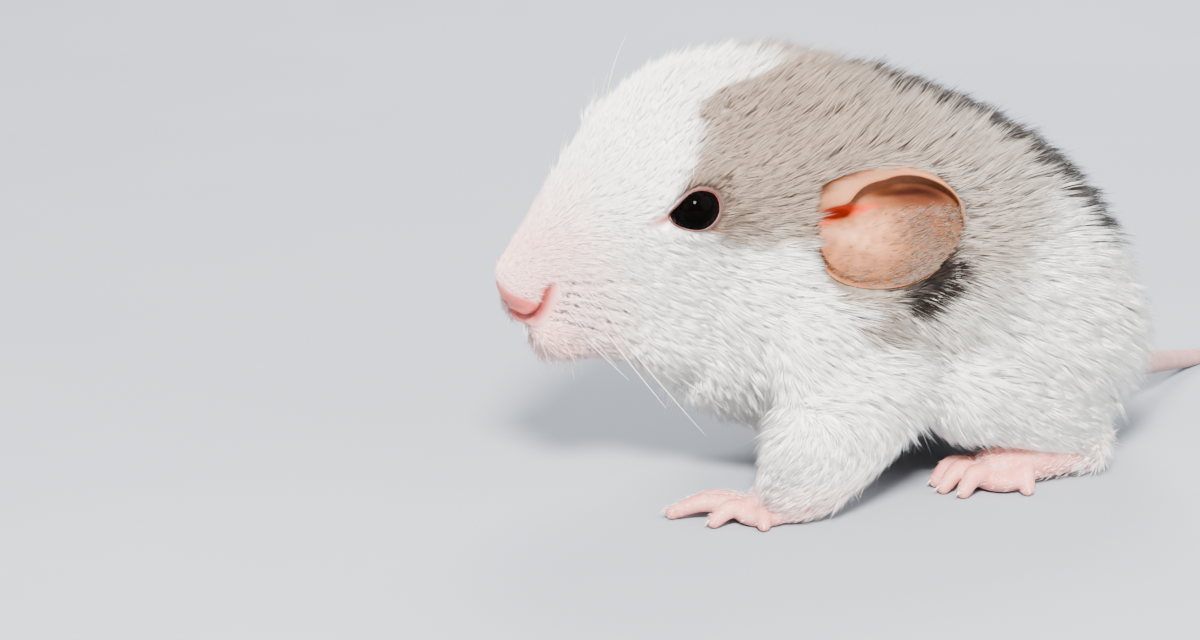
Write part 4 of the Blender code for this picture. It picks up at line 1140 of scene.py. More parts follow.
def coat_lie(points, normals):
    """The direction in which the hair lies at each point, along the skin."""
    head = body_to_head(points)
    ones = np.ones(len(points))
    droop = np.interp(head[:, 2], (-14, -8, 0, 8, 13, 19), (-1.0, -0.60, -0.30, -0.08, 0.50, 0.90))
    droop = droop * ramp(head[:, 0], 3.0, 14.0)
    on_head = np.stack([ones, 0.12 * np.sign(head[:, 1]), droop], 1) @ HEAD_TURN.T
    for side in SIDES.values():
        centre, out, _, _ = eye_axes(side)
        away = head - centre
        near = bell(np.linalg.norm(away, axis=1), 6.0)[:, None]
        apart = unit(away - (away @ out)[:, None] * out[None]) @ HEAD_TURN.T
        on_head = on_head + apart * near * 0.6
    x, y, z = points.T
    fall = np.interp(z, (6.0, 14.0, 22.0, 28.0, 34.0, 44.0), (-1.2, -1.0, -0.75, -0.35, 0.15, 0.85))
    fall = np.where(fall > 0, fall * (1 - ramp(x, 6.0, 32.0)), fall)
    trunk = np.stack([ones, 0.10 * np.sign(y), fall - 0.5 * ramp(x, 20.0, 38.0)], 1)
    chest = ramp(-x, 6.0, 14.0) * ramp(-z, -24.0, -12.0)
    trunk += chest[:, None] * np.array((-0.5, 0.0, -0.9))
    body = ramp(x, -18.0, -8.0)[:, None]
    way = unit(on_head) * (1 - body) + unit(trunk) * body
    for name, side in SIDES.items():
        for rows in LIMBS[name]:
            route = np.array([on_side(row[:3], side) for row in rows])
            knots = smooth_rows(route, 12)
            gaps = np.linalg.norm(points[:, None] - knots[None], axis=2)
            best = np.minimum(gaps.argmin(1), 10)
            along = unit(knots[best + 1] - knots[best])
            low = (1 - ramp(z, 6.0, 15.0)) * (gaps.min(1) < 11)
            onward = np.array((-0.45, 0.0, -0.10)) if rows is LIMBS[name][0] else np.array((0.25, 0.0, -0.25))
            way = way * (1 - low[:, None]) + (along + onward) * low[:, None]
    swirl = np.stack([waves(points, 9.0, seed) for seed in (21, 22, 23)], 1)
    return along_skin(unit(way) + swirl * 0.16, normals)


def scattered(piece, weigh, count, rng):
    """Random places over a finished piece, by a weight for each area.

    Gives points and normals in the body's frame, and each place's blend of the piece's points.
    """
    mesh = bpy.data.objects[piece].data.copy()
    mesh.transform(TO_MODEL.inverted())
    mesh.update()
    points, triangles = mesh_arrays(mesh)
    normals = mesh_normals(mesh)
    bpy.data.meshes.remove(mesh)
    a, b, c = (points[triangles[:, k]] for k in range(3))
    area = np.linalg.norm(np.cross(b - a, c - a), axis=1) / 2
    weight = area * weigh((a + b + c) / 3, triangles)
    corners = triangles[rng.choice(len(triangles), count, p=weight / weight.sum())]
    r1, r2 = np.sqrt(rng.random(count)), rng.random(count)
    shares = np.stack([1 - r1, r1 * (1 - r2), r1 * r2], 1)[:, :, None]
    root = (points[corners] * shares).sum(1)
    normal = unit((normals[corners] * shares).sum(1))
    return root, normal, corners, shares[:, :, 0]


def skin_roots(count, look, rng):
    """Places for the body's tufts, closer on the face, and none on bare skin or under the ears."""
    bare = values_of(bpy.data.objects["skin"].data.attributes["marks"].data, "color", 4, np.float32)[:, 2]

    def weigh(middle, triangles):
        weight = (FULL_DEPTH / np.maximum(coat_depth(middle, look), 0.3)) ** 0.85
        weight *= np.clip(1 - 1.9 * bare[triangles].mean(1), 0, 1) * ramp(middle[:, 2], 0.4, 1.6)
        for name, side in SIDES.items():
            beyond, distance, _ = lid_share(body_to_head(middle), side)
            weight = weight * (1 + 2.5 * bell(beyond - 5.0, 6.0) * (distance < LID_REACH + 0.5))
            local, _, away = over_ear(middle, name)
            weight = np.where((away < 0.5) & (np.abs(local[:, 2]) < 9), weight * 0.1, weight)
        return weight

    root, normal, corners, shares = scattered("skin", weigh, count, rng)
    return root, normal, (bare[corners] * shares).sum(1)


def leaders_of(root, members, rng):
    """For each tuft, the index of the leader of its lock, where a lock has about so many members."""
    count = len(root)
    leaders = rng.choice(count, max(2, count // members), replace=False)
    tree = KDTree(len(leaders))
    for number, place in enumerate(root[leaders].tolist()):
        tree.insert(place, number)
    tree.balance()
    return leaders[np.fromiter((tree.find(place)[1] for place in root.tolist()), int, count)]


def unwrap_place(points, normals):
    """A place on a flat sheet for each root: the skin seen square on from six ways, each side apart."""
    axis = np.abs(normals).argmax(1)
    sign = np.take_along_axis(normals, axis[:, None], 1)[:, 0] > 0
    cell = axis * 4 + sign * 2 + (points[:, 1] > 0)
    first = np.where(axis == 0, points[:, 1], points[:, 0])
    second = np.where(axis == 2, points[:, 1], points[:, 2])
    u = (cell % 4 + 0.06 + 0.86 * (first + 50.0) / 95.0) / 4
    v = (cell // 4 + 0.06 + 0.86 * (second + 25.0) / 82.0) / 3
    return np.stack([np.clip(u, 0, 0.996), np.clip(v, 0, 0.996)], 1)


# A tuft's points are its root, three round its thickest part and its tip, at these shares of its length
TUFT_FACES = np.array([(0, 2, 1), (0, 3, 2), (0, 1, 3), (1, 2, 4), (2, 3, 4), (3, 1, 4)])
TUFT_STOPS = np.array((0.0, 0.38, 0.38, 0.38, 1.0))
# The size of a tuft's place on the flat sheet, how far the coat may reach to either side, and how
# many tufts make one piece
PATCH = 0.003
COAT_REACH = 24.9
PIECE_TUFTS = 32000


def tuft_mesh(name, root, normal, tip, width, marks, chance):
    """One mesh of closed three-sided spindles, each from under the skin to a fine tip."""
    span = tip - root
    length = np.linalg.norm(span, axis=1)[:, None]
    across = unit(np.cross(span, normal))
    over = unit(np.cross(across, span))
    centre = root + span * TUFT_STOPS[1] + normal * length * 0.05
    half = width[:, None]
    ring = (centre - across * half, centre + across * half, centre + over * half * 0.7)
    points = (root - normal * 0.15, *ring, tip)
    stack = np.stack(points, 1).reshape(-1, 3)
    count = len(points)
    triangles = (TUFT_FACES[None] + (np.arange(len(root)) * count)[:, None, None]).reshape(-1, 3)
    mesh = array_mesh(name, stack, triangles)
    set_attribute(mesh, "marks", np.repeat(marks, count, axis=0), "FLOAT_COLOR")
    set_attribute(mesh, "along", np.tile(TUFT_STOPS, len(root)))
    set_attribute(mesh, "chance", np.repeat(chance, count))
    place = np.repeat(unwrap_place(root, normal), count, axis=0)
    place[:, 0] += np.tile(np.array((0.5, 0.0, 1.0, 0.5, 0.5)) * PATCH, len(root))
    place[:, 1] += np.tile(TUFT_STOPS * PATCH, len(root))
    layer = mesh.uv_layers.new(name="OFBake")
    layer.uv.foreach_set("vector", place[triangles.ravel()].astype(np.float32).ravel())
    return mesh


def passing(root, tip, shares=(0.0, 0.5, 1.0)):
    """The places of all tufts at each share of their length."""
    return [root + (tip - root) * share for share in shares]


def kept_off_ears(root, tip):
    """True for tufts that don't pass through the dish of an ear."""
    keep = np.ones(len(root), bool)
    for name in SIDES:
        start, _, root_away = over_ear(root, name)
        for at in passing(root, tip, (0.35, 0.7, 1.0)):
            local, floor, away = over_ear(at, name)
            edge = np.where(local[:, 1] > EAR_CENTRE[1] + 1.0, 1.18, 1.04)
            struck = (away < edge) & (local[:, 2] > floor - EAR_THICKNESS) & (local[:, 2] < 9)
            before = (start[:, 0] < -0.6) & (local[:, 0] < 0.2) & (root_away > 0.85)
            keep &= ~(struck & ~before)
    return keep


def kept_off_eyes(root, tip):
    """True for tufts that don't reach in over the opening of an eye."""
    keep = np.ones(len(root), bool)
    for side in SIDES.values():
        for at in passing(root, tip):
            beyond, distance, way = lid_share(body_to_head(at), side)
            keep &= ~((beyond < 1.0) & (distance < LID_REACH - 1.0))
            keep &= lid_corner(beyond, distance, way, side) < 0.35
    return keep


def kept_off_lines(root, tip):
    """True for tufts that don't cross a nostril or the line of the mouth."""
    tree = face_tree()
    keep = np.ones(len(root), bool)
    for stops, reach in ((NOSTRIL_STOPS, 0.92), (MOUTH_STOPS, 0.68)):
        for line in skin_lines(tree, stops):
            for at in passing(root, tip):
                keep &= line_distance(body_to_head(at), line)[0] > reach
    return keep


def kept_off_feet(tip):
    """True for tufts whose tips don't hang over the bare part of a hind foot."""
    keep = np.ones(len(tip), bool)
    for name, side in SIDES.items():
        shift = np.array((*FEET["hind"]["shift"][name], 0.0))
        for x, y, z, radius in smooth_rows(np.array(FEET["hind"]["limb"][1:]) + shift, 8):
            keep &= np.linalg.norm(tip - on_side((x, y, z), side), axis=1) > radius + 1.7
    return keep


def foot_roots(part, name, count, rng):
    """Places and lie for the short hair on a foot, which stops before the toes."""
    side, form = SIDES[name], FEET[part]
    shift = np.array(form["shift"][name])
    toes = [on_side(np.array(stops[1]) + shift, side) for stops in form["toes"]]
    heel, ball_end = (on_side(np.array(form["limb"][k][:3]) + shift, side) for k in (0, -1))

    def toe_gap(points):
        return np.min([np.linalg.norm(points - toe, axis=1) for toe in toes], axis=0)

    def weigh(middle, _):
        near = toe_gap(middle)
        return ramp(near, 0.8, 3.6) * ramp(middle[:, 2], 0.5, 1.6) * (1 + 2.0 * ramp(near, 8.0, 12.0))

    root, normal, _, _ = scattered(f"foot_{part}_{name}", weigh, count, rng)
    way = unit(ball_end - heel) + (0, 0, -0.15)
    way = way - (normal @ way)[:, None] * normal
    depth = np.interp(toe_gap(root), (1.0, 4.5, 9.0, 13.0), (0.16, 0.40, 0.9, 1.8))
    return root, normal, unit(way + rng.normal(size=root.shape) * 0.12), depth


def ear_roots(name, count, rng):
    """Places and lie for the fine hairs in an ear, most on its rear part and along its lower edge."""
    _, axes = ear_frame(name)

    def weigh(middle, _):
        local = to_ear(middle, name)
        x, y, _ = local.T
        canal, fold, _, _ = ear_colours(local, 1.0)
        furred = 0.05 + ramp(x, 6.0, 11.0) + 0.6 * ramp(-y, 3.0, 6.0)
        return furred * (1 - np.clip(2 * (canal + fold), 0, 1)) * ramp(-y, -2.4, -1.4)

    root, normal, _, _ = scattered(f"ear_skin_{name}", weigh, count, rng)
    facing = normal @ axes[2] > 0.1
    root, normal = root[facing], normal[facing]
    way = axes[0] + 0.40 * axes[1] + rng.normal(size=root.shape) * 0.14
    return root, normal, along_skin(way, normal), np.full(len(root), 0.30)


def make_coat(look):
    """The coat as several joined meshes of tufts, from nose to rump, down onto the feet and in the ears."""
    rng = np.random.default_rng(SEED)
    thinning = 1
    root, normal, bare = skin_roots(look.tufts // thinning, look, rng)
    body_count = len(root)
    batches = [(root, normal, coat_lie(root, normal), coat_depth(root, look))]
    batches += [foot_roots(part, name, look.foot_tufts // thinning, rng) for part in FEET for name in SIDES]
    feet_count = sum(len(batch[0]) for batch in batches)
    batches += [ear_roots(name, look.ear_tufts // thinning, rng) for name in SIDES]
    root, normal, way, depth = (np.concatenate(rows) for rows in zip(*batches))
    count = len(root)
    number = np.arange(count)
    bare = np.concatenate([bare, np.zeros(count - body_count)])
    thin = thin_coat(root)
    thin[body_count:] = np.interp(depth[body_count:], (0.4, 1.4), (0.6, 0.1))
    # How far each tuft stands off the skin, and its length
    crown = ramp(body_to_head(root)[:, 2], 12.0, 19.0) * (1 - ramp(root[:, 0], -16.0, -6.0))
    stand = np.interp(depth, (0.3, 0.9, 1.9, FULL_DEPTH), (15.0, 22.0, 32.0, look.stand)) + 14.0 * crown
    stand = np.radians(np.clip(stand + rng.normal(size=count) * 5.0, 8.0, 70.0))
    low = 1 - ramp(root[:, 2], 6.0, 15.0)
    lock, tress = leaders_of(root, 10, rng), leaders_of(root, 70, rng)
    uneven = rng.random(count)
    length = np.clip(depth / np.sin(stand), 0.9, look.coat_length)
    length = length * (0.78 + 0.24 * uneven + 0.34 * uneven[lock] ** 2) * (1 - 0.25 * low)
    guard = rng.random(count) < look.guard_share
    length = np.where(guard, length * 1.25, length) * (1 - 0.5 * ramp(bare, 0.2, 0.8))
    stand = stand * (1 - 0.35 * low)
    tip = root + (way * np.cos(stand)[:, None] + normal * np.sin(stand)[:, None]) * length[:, None]
    # Tufts stray a little, and gather towards the leaders of their locks
    hood, shadow = markings(root)
    stray = rng.normal(size=(count, 3))
    tip += (stray * 0.06 + stray[lock] * 0.07) * length[:, None]
    hold = np.where(guard, 0.3, 1.0) * ramp(depth, 0.1, 1.2) * (1 - 0.5 * low)
    tip += (tip[tress] - tip) * (0.14 * hold)[:, None]
    gather = np.clip(0.52 + 0.16 * waves(root, 12.0, 31), 0, 0.8) * (1 - 0.35 * hood)
    tip += (tip[lock] - tip) * (gather * hold)[:, None]
    width = np.interp(depth, (0.3, 1.2, FULL_DEPTH), (0.032, 0.042, 0.056)) * look.tuft_width
    width = width * rng.uniform(0.7, 1.25, count)
    width = np.where(guard, width * 0.7, width)
    hood[feet_count:] = 1.0
    shadow[feet_count:] = 0.10 + 0.40 * rng.random(count - feet_count)
    width[feet_count:] *= 0.62
    # Round each whisker's root the tufts are short, and dark where they touch it
    places = [head_to_body(row[0]) for row in whisker_roots(face_tree())]
    gap = [np.linalg.norm(at - place, axis=1) for place in places for at in passing(root, tip)]
    gap = np.min(gap, axis=0)
    tip = root + (tip - root) * np.where(gap < 0.55, 0.3, 1.0)[:, None]
    fleck = rng.random(count)
    dark = np.maximum(shadow, 0.96 * ramp(shadow, 0.1, 0.45))
    shadow = np.maximum(np.where(fleck < shadow * 1.25, dark, shadow * 0.4), 0.82 * (gap < 0.38))
    marks = np.stack([hood, shadow, bare * 0.8, thin], 1)
    chance = rng.random(count)
    # Tufts are shortened at the sides and at the ears, and left out where they still cross something
    reach, start = np.abs(tip[:, 1]), np.abs(root[:, 1])
    share = np.where(reach > COAT_REACH, (COAT_REACH - start) / np.maximum(reach - start, 0.01), 1.0)
    tip = root + (tip - root) * np.clip(share, 0.3, 1.0)[:, None]
    struck = ~kept_off_ears(root, tip) & (number < feet_count)
    tip[struck] = root[struck] + (tip[struck] - root[struck]) * 0.4
    keep = kept_off_ears(root, tip) | (number >= feet_count)
    keep &= kept_off_eyes(root, tip) & kept_off_lines(root, tip) & (tip[:, 2] > SKIN_FLOOR)
    keep &= kept_off_feet(tip) | (number >= body_count)
    index = np.nonzero(keep)[0]
    index = index[np.argsort(root[index, 0])]
    pieces = []
    for part in np.array_split(index, math.ceil(len(index) / PIECE_TUFTS)):
        name = f"coat_{len(pieces) + 1}"
        mesh = tuft_mesh(name, *(rows[part] for rows in (root, normal, tip, width, marks, chance)))
        pieces.append(new_object(name, mesh))
    return pieces


# Strands made by Geometry Nodes: whiskers, lid rims, claws and tail


def strand_tree(material):
    """Turns poly-lines that carry a radius into tapered closed strands."""
    inputs = [("Geometry", "Geometry"), ("Sides", "Int"), ("Thickness", "Float")]
    t = new_group("tapered_strands", "Geometry", inputs, [("Geometry", "Geometry")])
    given = t.add("NodeGroupInput").outputs
    thick = t.add("GeometryNodeInputNamedAttribute", data_type="FLOAT")
    thick.inputs["Name"].default_value = "thick"
    scaled = t.math("MULTIPLY", thick.outputs["Attribute"], given["Thickness"])
    curve = t.add("GeometryNodeMeshToCurve", {"Mesh": given["Geometry"]}).outputs["Curve"]
    curve = t.add("GeometryNodeSetCurveRadius", {"Curve": curve, "Radius": scaled}).outputs["Curve"]
    circle = {"Resolution": given["Sides"], "Radius": 1.0}
    circle = t.add("GeometryNodeCurvePrimitiveCircle", circle).outputs["Curve"]
    swept = {"Curve": curve, "Profile Curve": circle, "Fill Caps": True}
    swept = t.add("GeometryNodeCurveToMesh", swept)
    if "Scale" in swept.inputs:
        t.put(scaled, swept.inputs["Scale"])
    real = t.add("GeometryNodeRealizeInstances", {"Geometry": swept.outputs["Mesh"]}).outputs["Geometry"]
    paint = t.add("GeometryNodeSetMaterial", {"Geometry": real, "Material": material})
    t.add("NodeGroupOutput", {"Geometry": paint.outputs["Geometry"]})
    return t.tree


def strands(name, routes, material, sides):
    """A mesh of tapered strands along routes, each a row of x, y, z and radius."""
    points = np.vstack(routes)
    edges, start = [], 0
    for route in routes:
        edges += [(start + k, start + k + 1) for k in range(len(route) - 1)]
        start += len(route)
    mesh = bpy.data.meshes.new(name)
    mesh.from_pydata([tuple(p[:3]) for p in points], edges, [])
    set_attribute(mesh, "thick", points[:, 3])
    set_attribute(mesh, "along", np.concatenate([np.linspace(0, 1, len(r)) for r in routes]))
    obj = new_object(name, mesh)
    tree = strand_tree(material)
    modifier = obj.modifiers.new("strands", "NODES")
    modifier.node_group = tree
    values = {"Sides": sides, "Thickness": 1.0}
    for item in tree.interface.items_tree:
        if item.in_out == "INPUT" and item.name in values:
            modifier[item.identifier] = values[item.name]
    applied(obj)
    bpy.data.node_groups.remove(tree)
    return obj


# Settings


# Each is a name, a note and a default
SETTINGS = (
    ("coat_depth", "Depth of the coat on the back, in mm", 2.8),
    ("coat_length", "Longest tufts, in mm", 5.6),
    ("stand", "How far the back's hair stands off the skin, in degrees", 41.0),
    ("tufts", "How many tufts are laid over the skin", 232000),
    ("foot_tufts", "Short hairs on each foot", 2600),
    ("ear_tufts", "Fine hairs in each ear", 4200),
    ("tuft_width", "Thickness of the tufts, as a factor", 1.0),
    ("guard_share", "Share of longer hairs that stand out", 0.09),
    ("skin_voxel", "Size of the skin's faces, in mm", 0.64),
    ("ear_thickness", "Thickness of the ears, in mm", 0.45),
    ("whiskers", "Whiskers on each side", 30),
    ("white", "White coat of face, belly and rump", (0.93, 0.92, 0.89)),
    ("thin", "White hair with pink skin under it", (0.90, 0.58, 0.535)),
    ("hood", "Grey of the hood", (0.240, 0.178, 0.135)),
    # Also the colour of the painted shadow behind each ear and of the painted shade round its edge
    ("dark", "Dark guard hair", (0.010, 0.005, 0.003)),
    ("nose", "Bare pink of nose and lips", (0.52, 0.088, 0.066)),
    # Painted shade in the grooves of nostrils, mouth and cleft, with the nostrils' own deep red
    ("crease", "Creases of nostrils and mouth", (0.150, 0.0028, 0.0030)),
    ("foot", "Bare skin of the feet", (0.60, 0.28, 0.235)),
    ("flush", "Deeper pink of the toes", (0.58, 0.17, 0.14)),
    ("tail", "Skin of the tail", (0.44, 0.24, 0.22)),
    ("ear", "Skin of the ears", (0.205, 0.067, 0.019)),
    ("ear_tan", "Browner back part of the ears", (0.090, 0.031, 0.010)),
    ("canal", "Red of the ear's root", (0.50, 0.040, 0.006)),
    # Painted shade under the ear's rolled rim
    ("ear_fold", "Brown under the ear's rolled rim", (0.060, 0.0125, 0.0038)),
    ("eye", "Dark of the eye", (0.0008, 0.0005, 0.0005)),
    ("rim", "Margin of the lids", (0.085, 0.032, 0.027)),
    ("claw", "Horn of the claws", (0.62, 0.47, 0.40)),
)


def setting(name, note, default):
    """A property for one setting: a colour, a count or a number."""
    values = {"name": name.replace("_", " ").capitalize(), "description": note, "default": default}
    if isinstance(default, tuple):
        return bpy.props.FloatVectorProperty(subtype="COLOR", **values)
    if isinstance(default, int):
        return bpy.props.IntProperty(min=1, **values)
    return bpy.props.FloatProperty(min=0.0, **values)


class RatLook(bpy.types.PropertyGroup):
    """Sizes in millimetres, counts, shares and colours."""

    __annotations__ = {row[0]: setting(*row) for row in SETTINGS}


# Operators


class RAT_OT_skin(bpy.types.Operator):
    """Make the one skin that stands for the head, neck, torso and legs"""

    bl_idname = "rat.skin"
    bl_label = "Skin"

    def execute(self, context):
        look = context.scene.rat_look
        flesh = ["head", "neck", "torso", *(f"{part}_leg_{side}" for part in FEET for side in SIDES)]
        finish_piece(make_skin(look), skin_material(look), "white_coat", *flesh)
        return {"FINISHED"}


class RAT_OT_eyes(bpy.types.Operator):
    """Make the eyes and the margins of their lids"""

    bl_idname = "rat.eyes"
    bl_label = "Eyes"

    def execute(self, context):
        look = context.scene.rat_look
        wet, moist = eye_material(look), rim_material(look)
        for name, side in SIDES.items():
            centre, out, forward, up = eye_axes(side)
            points, faces = ball((0, 0, 0), (1, 1, 1), segments=64, rings=40)
            points = np.array(points)
            iris = bell(np.abs(points[:, 2]) - 0.72, 0.13)
            # The cornea stands a little proud of the ball
            off_axis = np.degrees(np.arccos(np.clip(points[:, 2], -1, 1)))
            points = points * (EYE_RADIUS * (1 + 0.035 * bell(off_axis, 48.0)))[:, None]
            placed = centre + points[:, :1] * forward + points[:, 1:2] * up * -side + points[:, 2:] * out
            mesh = array_mesh(f"eye_{name}", head_to_body(placed), faces)
            set_attribute(mesh, "iris", iris)
            face_outward(mesh)
            finish_piece(new_object(f"eye_ball_{name}", mesh), wet, "eye_black", f"eye_{name}")
            around = np.linspace(0, 2 * math.pi, 73)
            polar = np.radians(lid_angle(around, side) + 0.5)[:, None]
            across = np.cos(around)[:, None] * forward + np.sin(around)[:, None] * up
            edge = centre + (np.cos(polar) * out + np.sin(polar) * across) * (EYE_RADIUS + 0.10)
            route = np.hstack([head_to_body(edge), np.full((len(edge), 1), 0.14)])
            finish_piece(strands(f"lid_rim_{name}", [route], moist, 10), moist, "pink_skin")
        return {"FINISHED"}


class RAT_OT_ears(bpy.types.Operator):
    """Make the thin ears with their rolled rims"""

    bl_idname = "rat.ears"
    bl_label = "Ears"

    def execute(self, context):
        look = context.scene.rat_look
        material = ear_material(look)
        for name in SIDES:
            finish_piece(make_ear(name, look), material, "ear_skin", f"ear_{name}")
        return {"FINISHED"}


class RAT_OT_feet(bpy.types.Operator):
    """Make the bare feet and their claws"""

    bl_idname = "rat.feet"
    bl_label = "Feet"

    def execute(self, context):
        look = context.scene.rat_look
        bare = bare_material("rat_foot", look.foot, look.flush, 0.44, 0.45)
        horn = horn_material("rat_claw", look.claw, look.flush, 0.30)
        claws = []
        for part, form in FEET.items():
            for name, side in SIDES.items():
                shift = np.array((*form["shift"][name], 0.0))
                rows = np.array(form["limb"]) + shift
                parts = beads(rows, side, 12)
                centre, radii = form["pad"]
                parts.append(ball(on_side(np.array(centre) + shift[:3], side), radii))
                toes = []
                for stops in form["toes"]:
                    toe = np.array([(*p, r) for p, r in zip(stops, form["toe_radii"])]) + shift
                    parts += beads(toe, side, 9)
                    toes.append(toe)
                obj = fused(f"foot_{part}_{name}", parts, 0.24, 3)
                points, _ = mesh_arrays(obj.data)
                points[:, 2] = np.maximum(points[:, 2], FOOT_FLOOR)
                flush = np.zeros(len(points))
                for toe in toes:
                    tip, knuckle = on_side(toe[2, :3], side), on_side(toe[1, :3], side)
                    flush = np.maximum(flush, 0.75 * bell(np.linalg.norm(points - tip, axis=1), 2.0))
                    flush = np.maximum(flush, 0.35 * bell(np.linalg.norm(points - knuckle, axis=1), 1.6))
                    claws.append(self.claw(tip, knuckle))
                move_points(obj.data, points)
                set_attribute(obj.data, "flush", flush)
                finish_piece(obj, bare, "pink_skin", f"{part}_foot_{name}")
        finish_piece(strands("claws", claws, horn, 10), horn, "pink_skin")
        return {"FINISHED"}

    def claw(self, tip, knuckle):
        """A short curved spike from a toe's tip, bent down towards the floor."""
        ahead = tip - knuckle
        ahead[2] = 0.0
        ahead = unit(ahead)
        rows = []
        for t in np.linspace(0, 1, 9):
            point = tip + ahead * (0.1 + 1.15 * t) + (0, 0, 0.25 + 0.25 * t - 0.80 * t * t)
            point[2] = max(point[2], 0.14)
            rows.append((*point, 0.25 * (1 - t) ** 0.75 + 0.02))
        return np.array(rows)


class RAT_OT_tail(bpy.types.Operator):
    """Make the ringed tail"""

    bl_idname = "rat.tail"
    bl_label = "Tail"

    def execute(self, context):
        look = context.scene.rat_look
        bare = bare_material("rat_tail", look.tail, tinted(look.tail, 0.72), 0.52, 0.5, 0.08)
        rows = smooth_rows(TAIL_ROUTE, 700)
        step = np.linalg.norm(np.diff(rows[:, :3], axis=0), axis=1)
        # Each ring of scales is thickest at its rear edge
        ring = np.concatenate([[0], np.cumsum(step)]) / TAIL_RING % 1.0
        rows[:, 3] *= 1 + 0.055 * (ring**2 - 0.5)
        rows[:, 2] = np.maximum(rows[:, 2], rows[:, 3] * 0.92)
        obj = strands("tail_skin", [rows], bare, 26)
        points, _ = mesh_arrays(obj.data)
        points[:, 2] = np.maximum(points[:, 2], FOOT_FLOOR)
        move_points(obj.data, points)
        set_attribute(obj.data, "flush", 0.5 + 0.5 * waves(points, 14.0, 41))
        finish_piece(obj, bare, "tail_skin", "tail_1", "tail_2", "tail_3", "tail_4")
        return {"FINISHED"}


class RAT_OT_coat(bpy.types.Operator):
    """Lay the coat of tufts over the skin"""

    bl_idname = "rat.coat"
    bl_label = "Coat"

    def execute(self, context):
        look = context.scene.rat_look
        material = coat_material(look)
        for piece in make_coat(look):
            finish_piece(piece, material, "white_coat")
        return {"FINISHED"}


class RAT_OT_whiskers(bpy.types.Operator):
    """Make the whiskers, the brow hairs and the hairs of lip and chin"""

    bl_idname = "rat.whiskers"
    bl_label = "Whiskers"

    def execute(self, context):
        rng = np.random.default_rng(SEED + 1)
        tree = face_tree()
        routes = []
        for hit, normal, side, row, place in whisker_roots(tree):
            length = (6.0 + 2.5 * place) * rng.uniform(0.8, 1.12)
            lie = (0.55 + 0.10 * place, 0, -0.75 + 0.10 * row)
            way = unit(normal * (0.36 if side < 0 else 0.30) + lie + rng.normal(size=3) * 0.16)
            routes.append(self.whisker(hit, way, length, 0.046 + 0.007 * place))
        for side in SIDES.values():
            centre, out, forward, up = eye_axes(side)
            for number in range(3):
                root = centre + out * 2.0 + up * 3.7 + forward * (number - 1) * 0.8
                way = unit(out * 0.30 + up * 0.9 + forward * 0.25 * (number - 1) + rng.normal(size=3) * 0.08)
                routes.append(self.whisker(root, way, rng.uniform(7.0, 12.0), 0.040))
            # Short hairs that hang from the upper lip, and the tuft of the chin
            lip = [(x, np.interp(x, (3.4, 10.0), (16.0, 66.0)), 2.0) for x in np.linspace(3.4, 10.0, 26)]
            chin = [(x, turn, 3.0) for x in (7.5, 8.6, 9.7, 10.8) for turn in (4.0, 14.0, 24.0)]
            for x, turn, length in lip + chin:
                found = face_point(tree, x + rng.normal() * 0.25, turn + rng.normal() * 4.0, side)
                if found:
                    way = unit(np.array((-0.10, 0.15 * side, -0.95)) + rng.normal(size=3) * 0.18)
                    routes.append(self.whisker(found[0], way, length * rng.uniform(0.7, 1.2), 0.032))
        material = horn_material("rat_whisker", (0.92, 0.90, 0.86), (0.75, 0.62, 0.56), 0.35)
        finish_piece(strands("whiskers", routes, material, 5), material, "white_coat")
        return {"FINISHED"}

    def whisker(self, root, way, length, radius):
        """A sagging hair from just under the skin, tapered to its tip."""
        t = np.linspace(0, 1, 14)[:, None]
        sag = np.array((0.55, 0.0, -0.55))
        path = head_to_body(root + way * length * (t - 0.03) + sag * length * 0.30 * t**2)
        path[:, 2] = np.maximum(path[:, 2], 0.3)
        return np.hstack([path, radius * (1 - t) ** 0.8 + 0.010])


def soft_light(name, place, aim, size, power, colour=(1.0, 1.0, 1.0)):
    """A round lamp at a place, turned to what it lights, in metres and watts."""
    lamp = bpy.data.lights.new(name, "AREA")
    lamp.shape = "DISK"
    lamp.size = size
    lamp.energy = power
    lamp.color = colour
    obj = new_object(name, lamp)
    obj.location = place
    obj.rotation_euler = (Vector(aim) - Vector(place)).to_track_quat("-Z", "Y").to_euler()


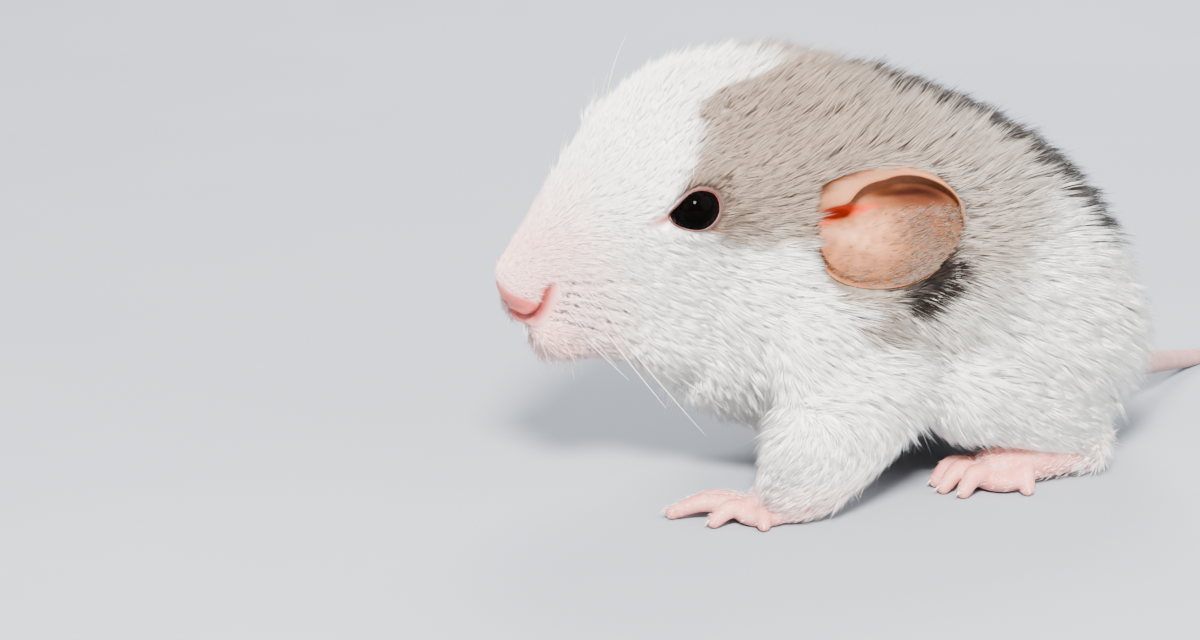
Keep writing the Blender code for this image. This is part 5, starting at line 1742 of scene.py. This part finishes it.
class RAT_OT_stage(bpy.types.Operator):
    """Set the floor, the lights and the camera"""

    bl_idname = "rat.stage"
    bl_label = "Stage"

    def execute(self, context):
        scene = context.scene
        material, t = new_material("stage_floor")
        grain = t.noise(t.object_point(), 0.02)
        t.dress({"Base Color": t.mix(grain, (0.25, 0.27, 0.31), (0.29, 0.31, 0.345)), "Roughness": 0.9})
        corners = [(x * FLOOR_REACH, y * FLOOR_REACH, 0) for x, y in ((-1, -1), (1, -1), (1, 1), (-1, 1))]
        floor = new_object("stage_floor", array_mesh("stage_floor", corners, [(0, 1, 2, 3)]))
        floor.data.materials.append(material)
        world = bpy.data.worlds.new("studio")
        world.use_nodes = True
        air = world.node_tree.nodes["Background"].inputs
        air["Color"].default_value = (0.86, 0.90, 0.97, 1.0)
        air["Strength"].default_value = 0.85
        scene.world = world
        soft_light("key", (-0.30, -0.46, 0.42), (-0.02, 0, 0.02), 0.13, 27.0, (1.0, 0.98, 0.95))
        soft_light("fill", (0.45, -0.80, 0.45), (0, 0, 0.02), 1.1, 14.0)
        soft_light("back", (0.25, 0.45, 0.45), (0, 0, 0.03), 0.35, 9.0)
        camera = bpy.data.cameras.new("view")
        camera.lens = VIEW_LENS
        camera.sensor_width = 36.0
        camera.clip_start = 0.01
        eye = new_object("view", camera)
        azimuth, elevation = math.radians(VIEW_AZIMUTH), math.radians(VIEW_ELEVATION)
        level = math.cos(elevation)
        back = Vector((math.sin(azimuth) * level, -math.cos(azimuth) * level, math.sin(elevation)))
        eye.location = Vector(np.array(VIEW_POINT) * MM + SHIFT) + back * VIEW_DISTANCE * MM
        eye.rotation_euler = back.to_track_quat("Z", "Y").to_euler()
        scene.camera = eye
        return {"FINISHED"}


class RAT_PT_panel(bpy.types.Panel):
    """Lists the operators and the settings"""

    bl_label = "Young pet rat"
    bl_idname = "RAT_PT_panel"
    bl_space_type = "VIEW_3D"
    bl_region_type = "UI"
    bl_category = "Rat"

    def draw(self, context):
        for operator in OPERATORS:
            self.layout.operator(operator.bl_idname)
        for name in RatLook.__annotations__:
            self.layout.prop(context.scene.rat_look, name)


OPERATORS = (
    RAT_OT_skin,
    RAT_OT_eyes,
    RAT_OT_ears,
    RAT_OT_feet,
    RAT_OT_tail,
    RAT_OT_coat,
    RAT_OT_whiskers,
    RAT_OT_stage,
)


def register():
    for made in (RatLook, *OPERATORS, RAT_PT_panel):
        bpy.utils.register_class(made)
    bpy.types.Scene.rat_look = bpy.props.PointerProperty(type=RatLook)


def unregister():
    del bpy.types.Scene.rat_look
    for made in (RAT_PT_panel, *reversed(OPERATORS), RatLook):
        bpy.utils.unregister_class(made)


def main():
    register()
    for name in ("skin", "eyes", "ears", "feet", "tail", "coat", "whiskers", "stage"):
        getattr(bpy.ops.rat, name)()


if __name__ == "__main__":
    main()
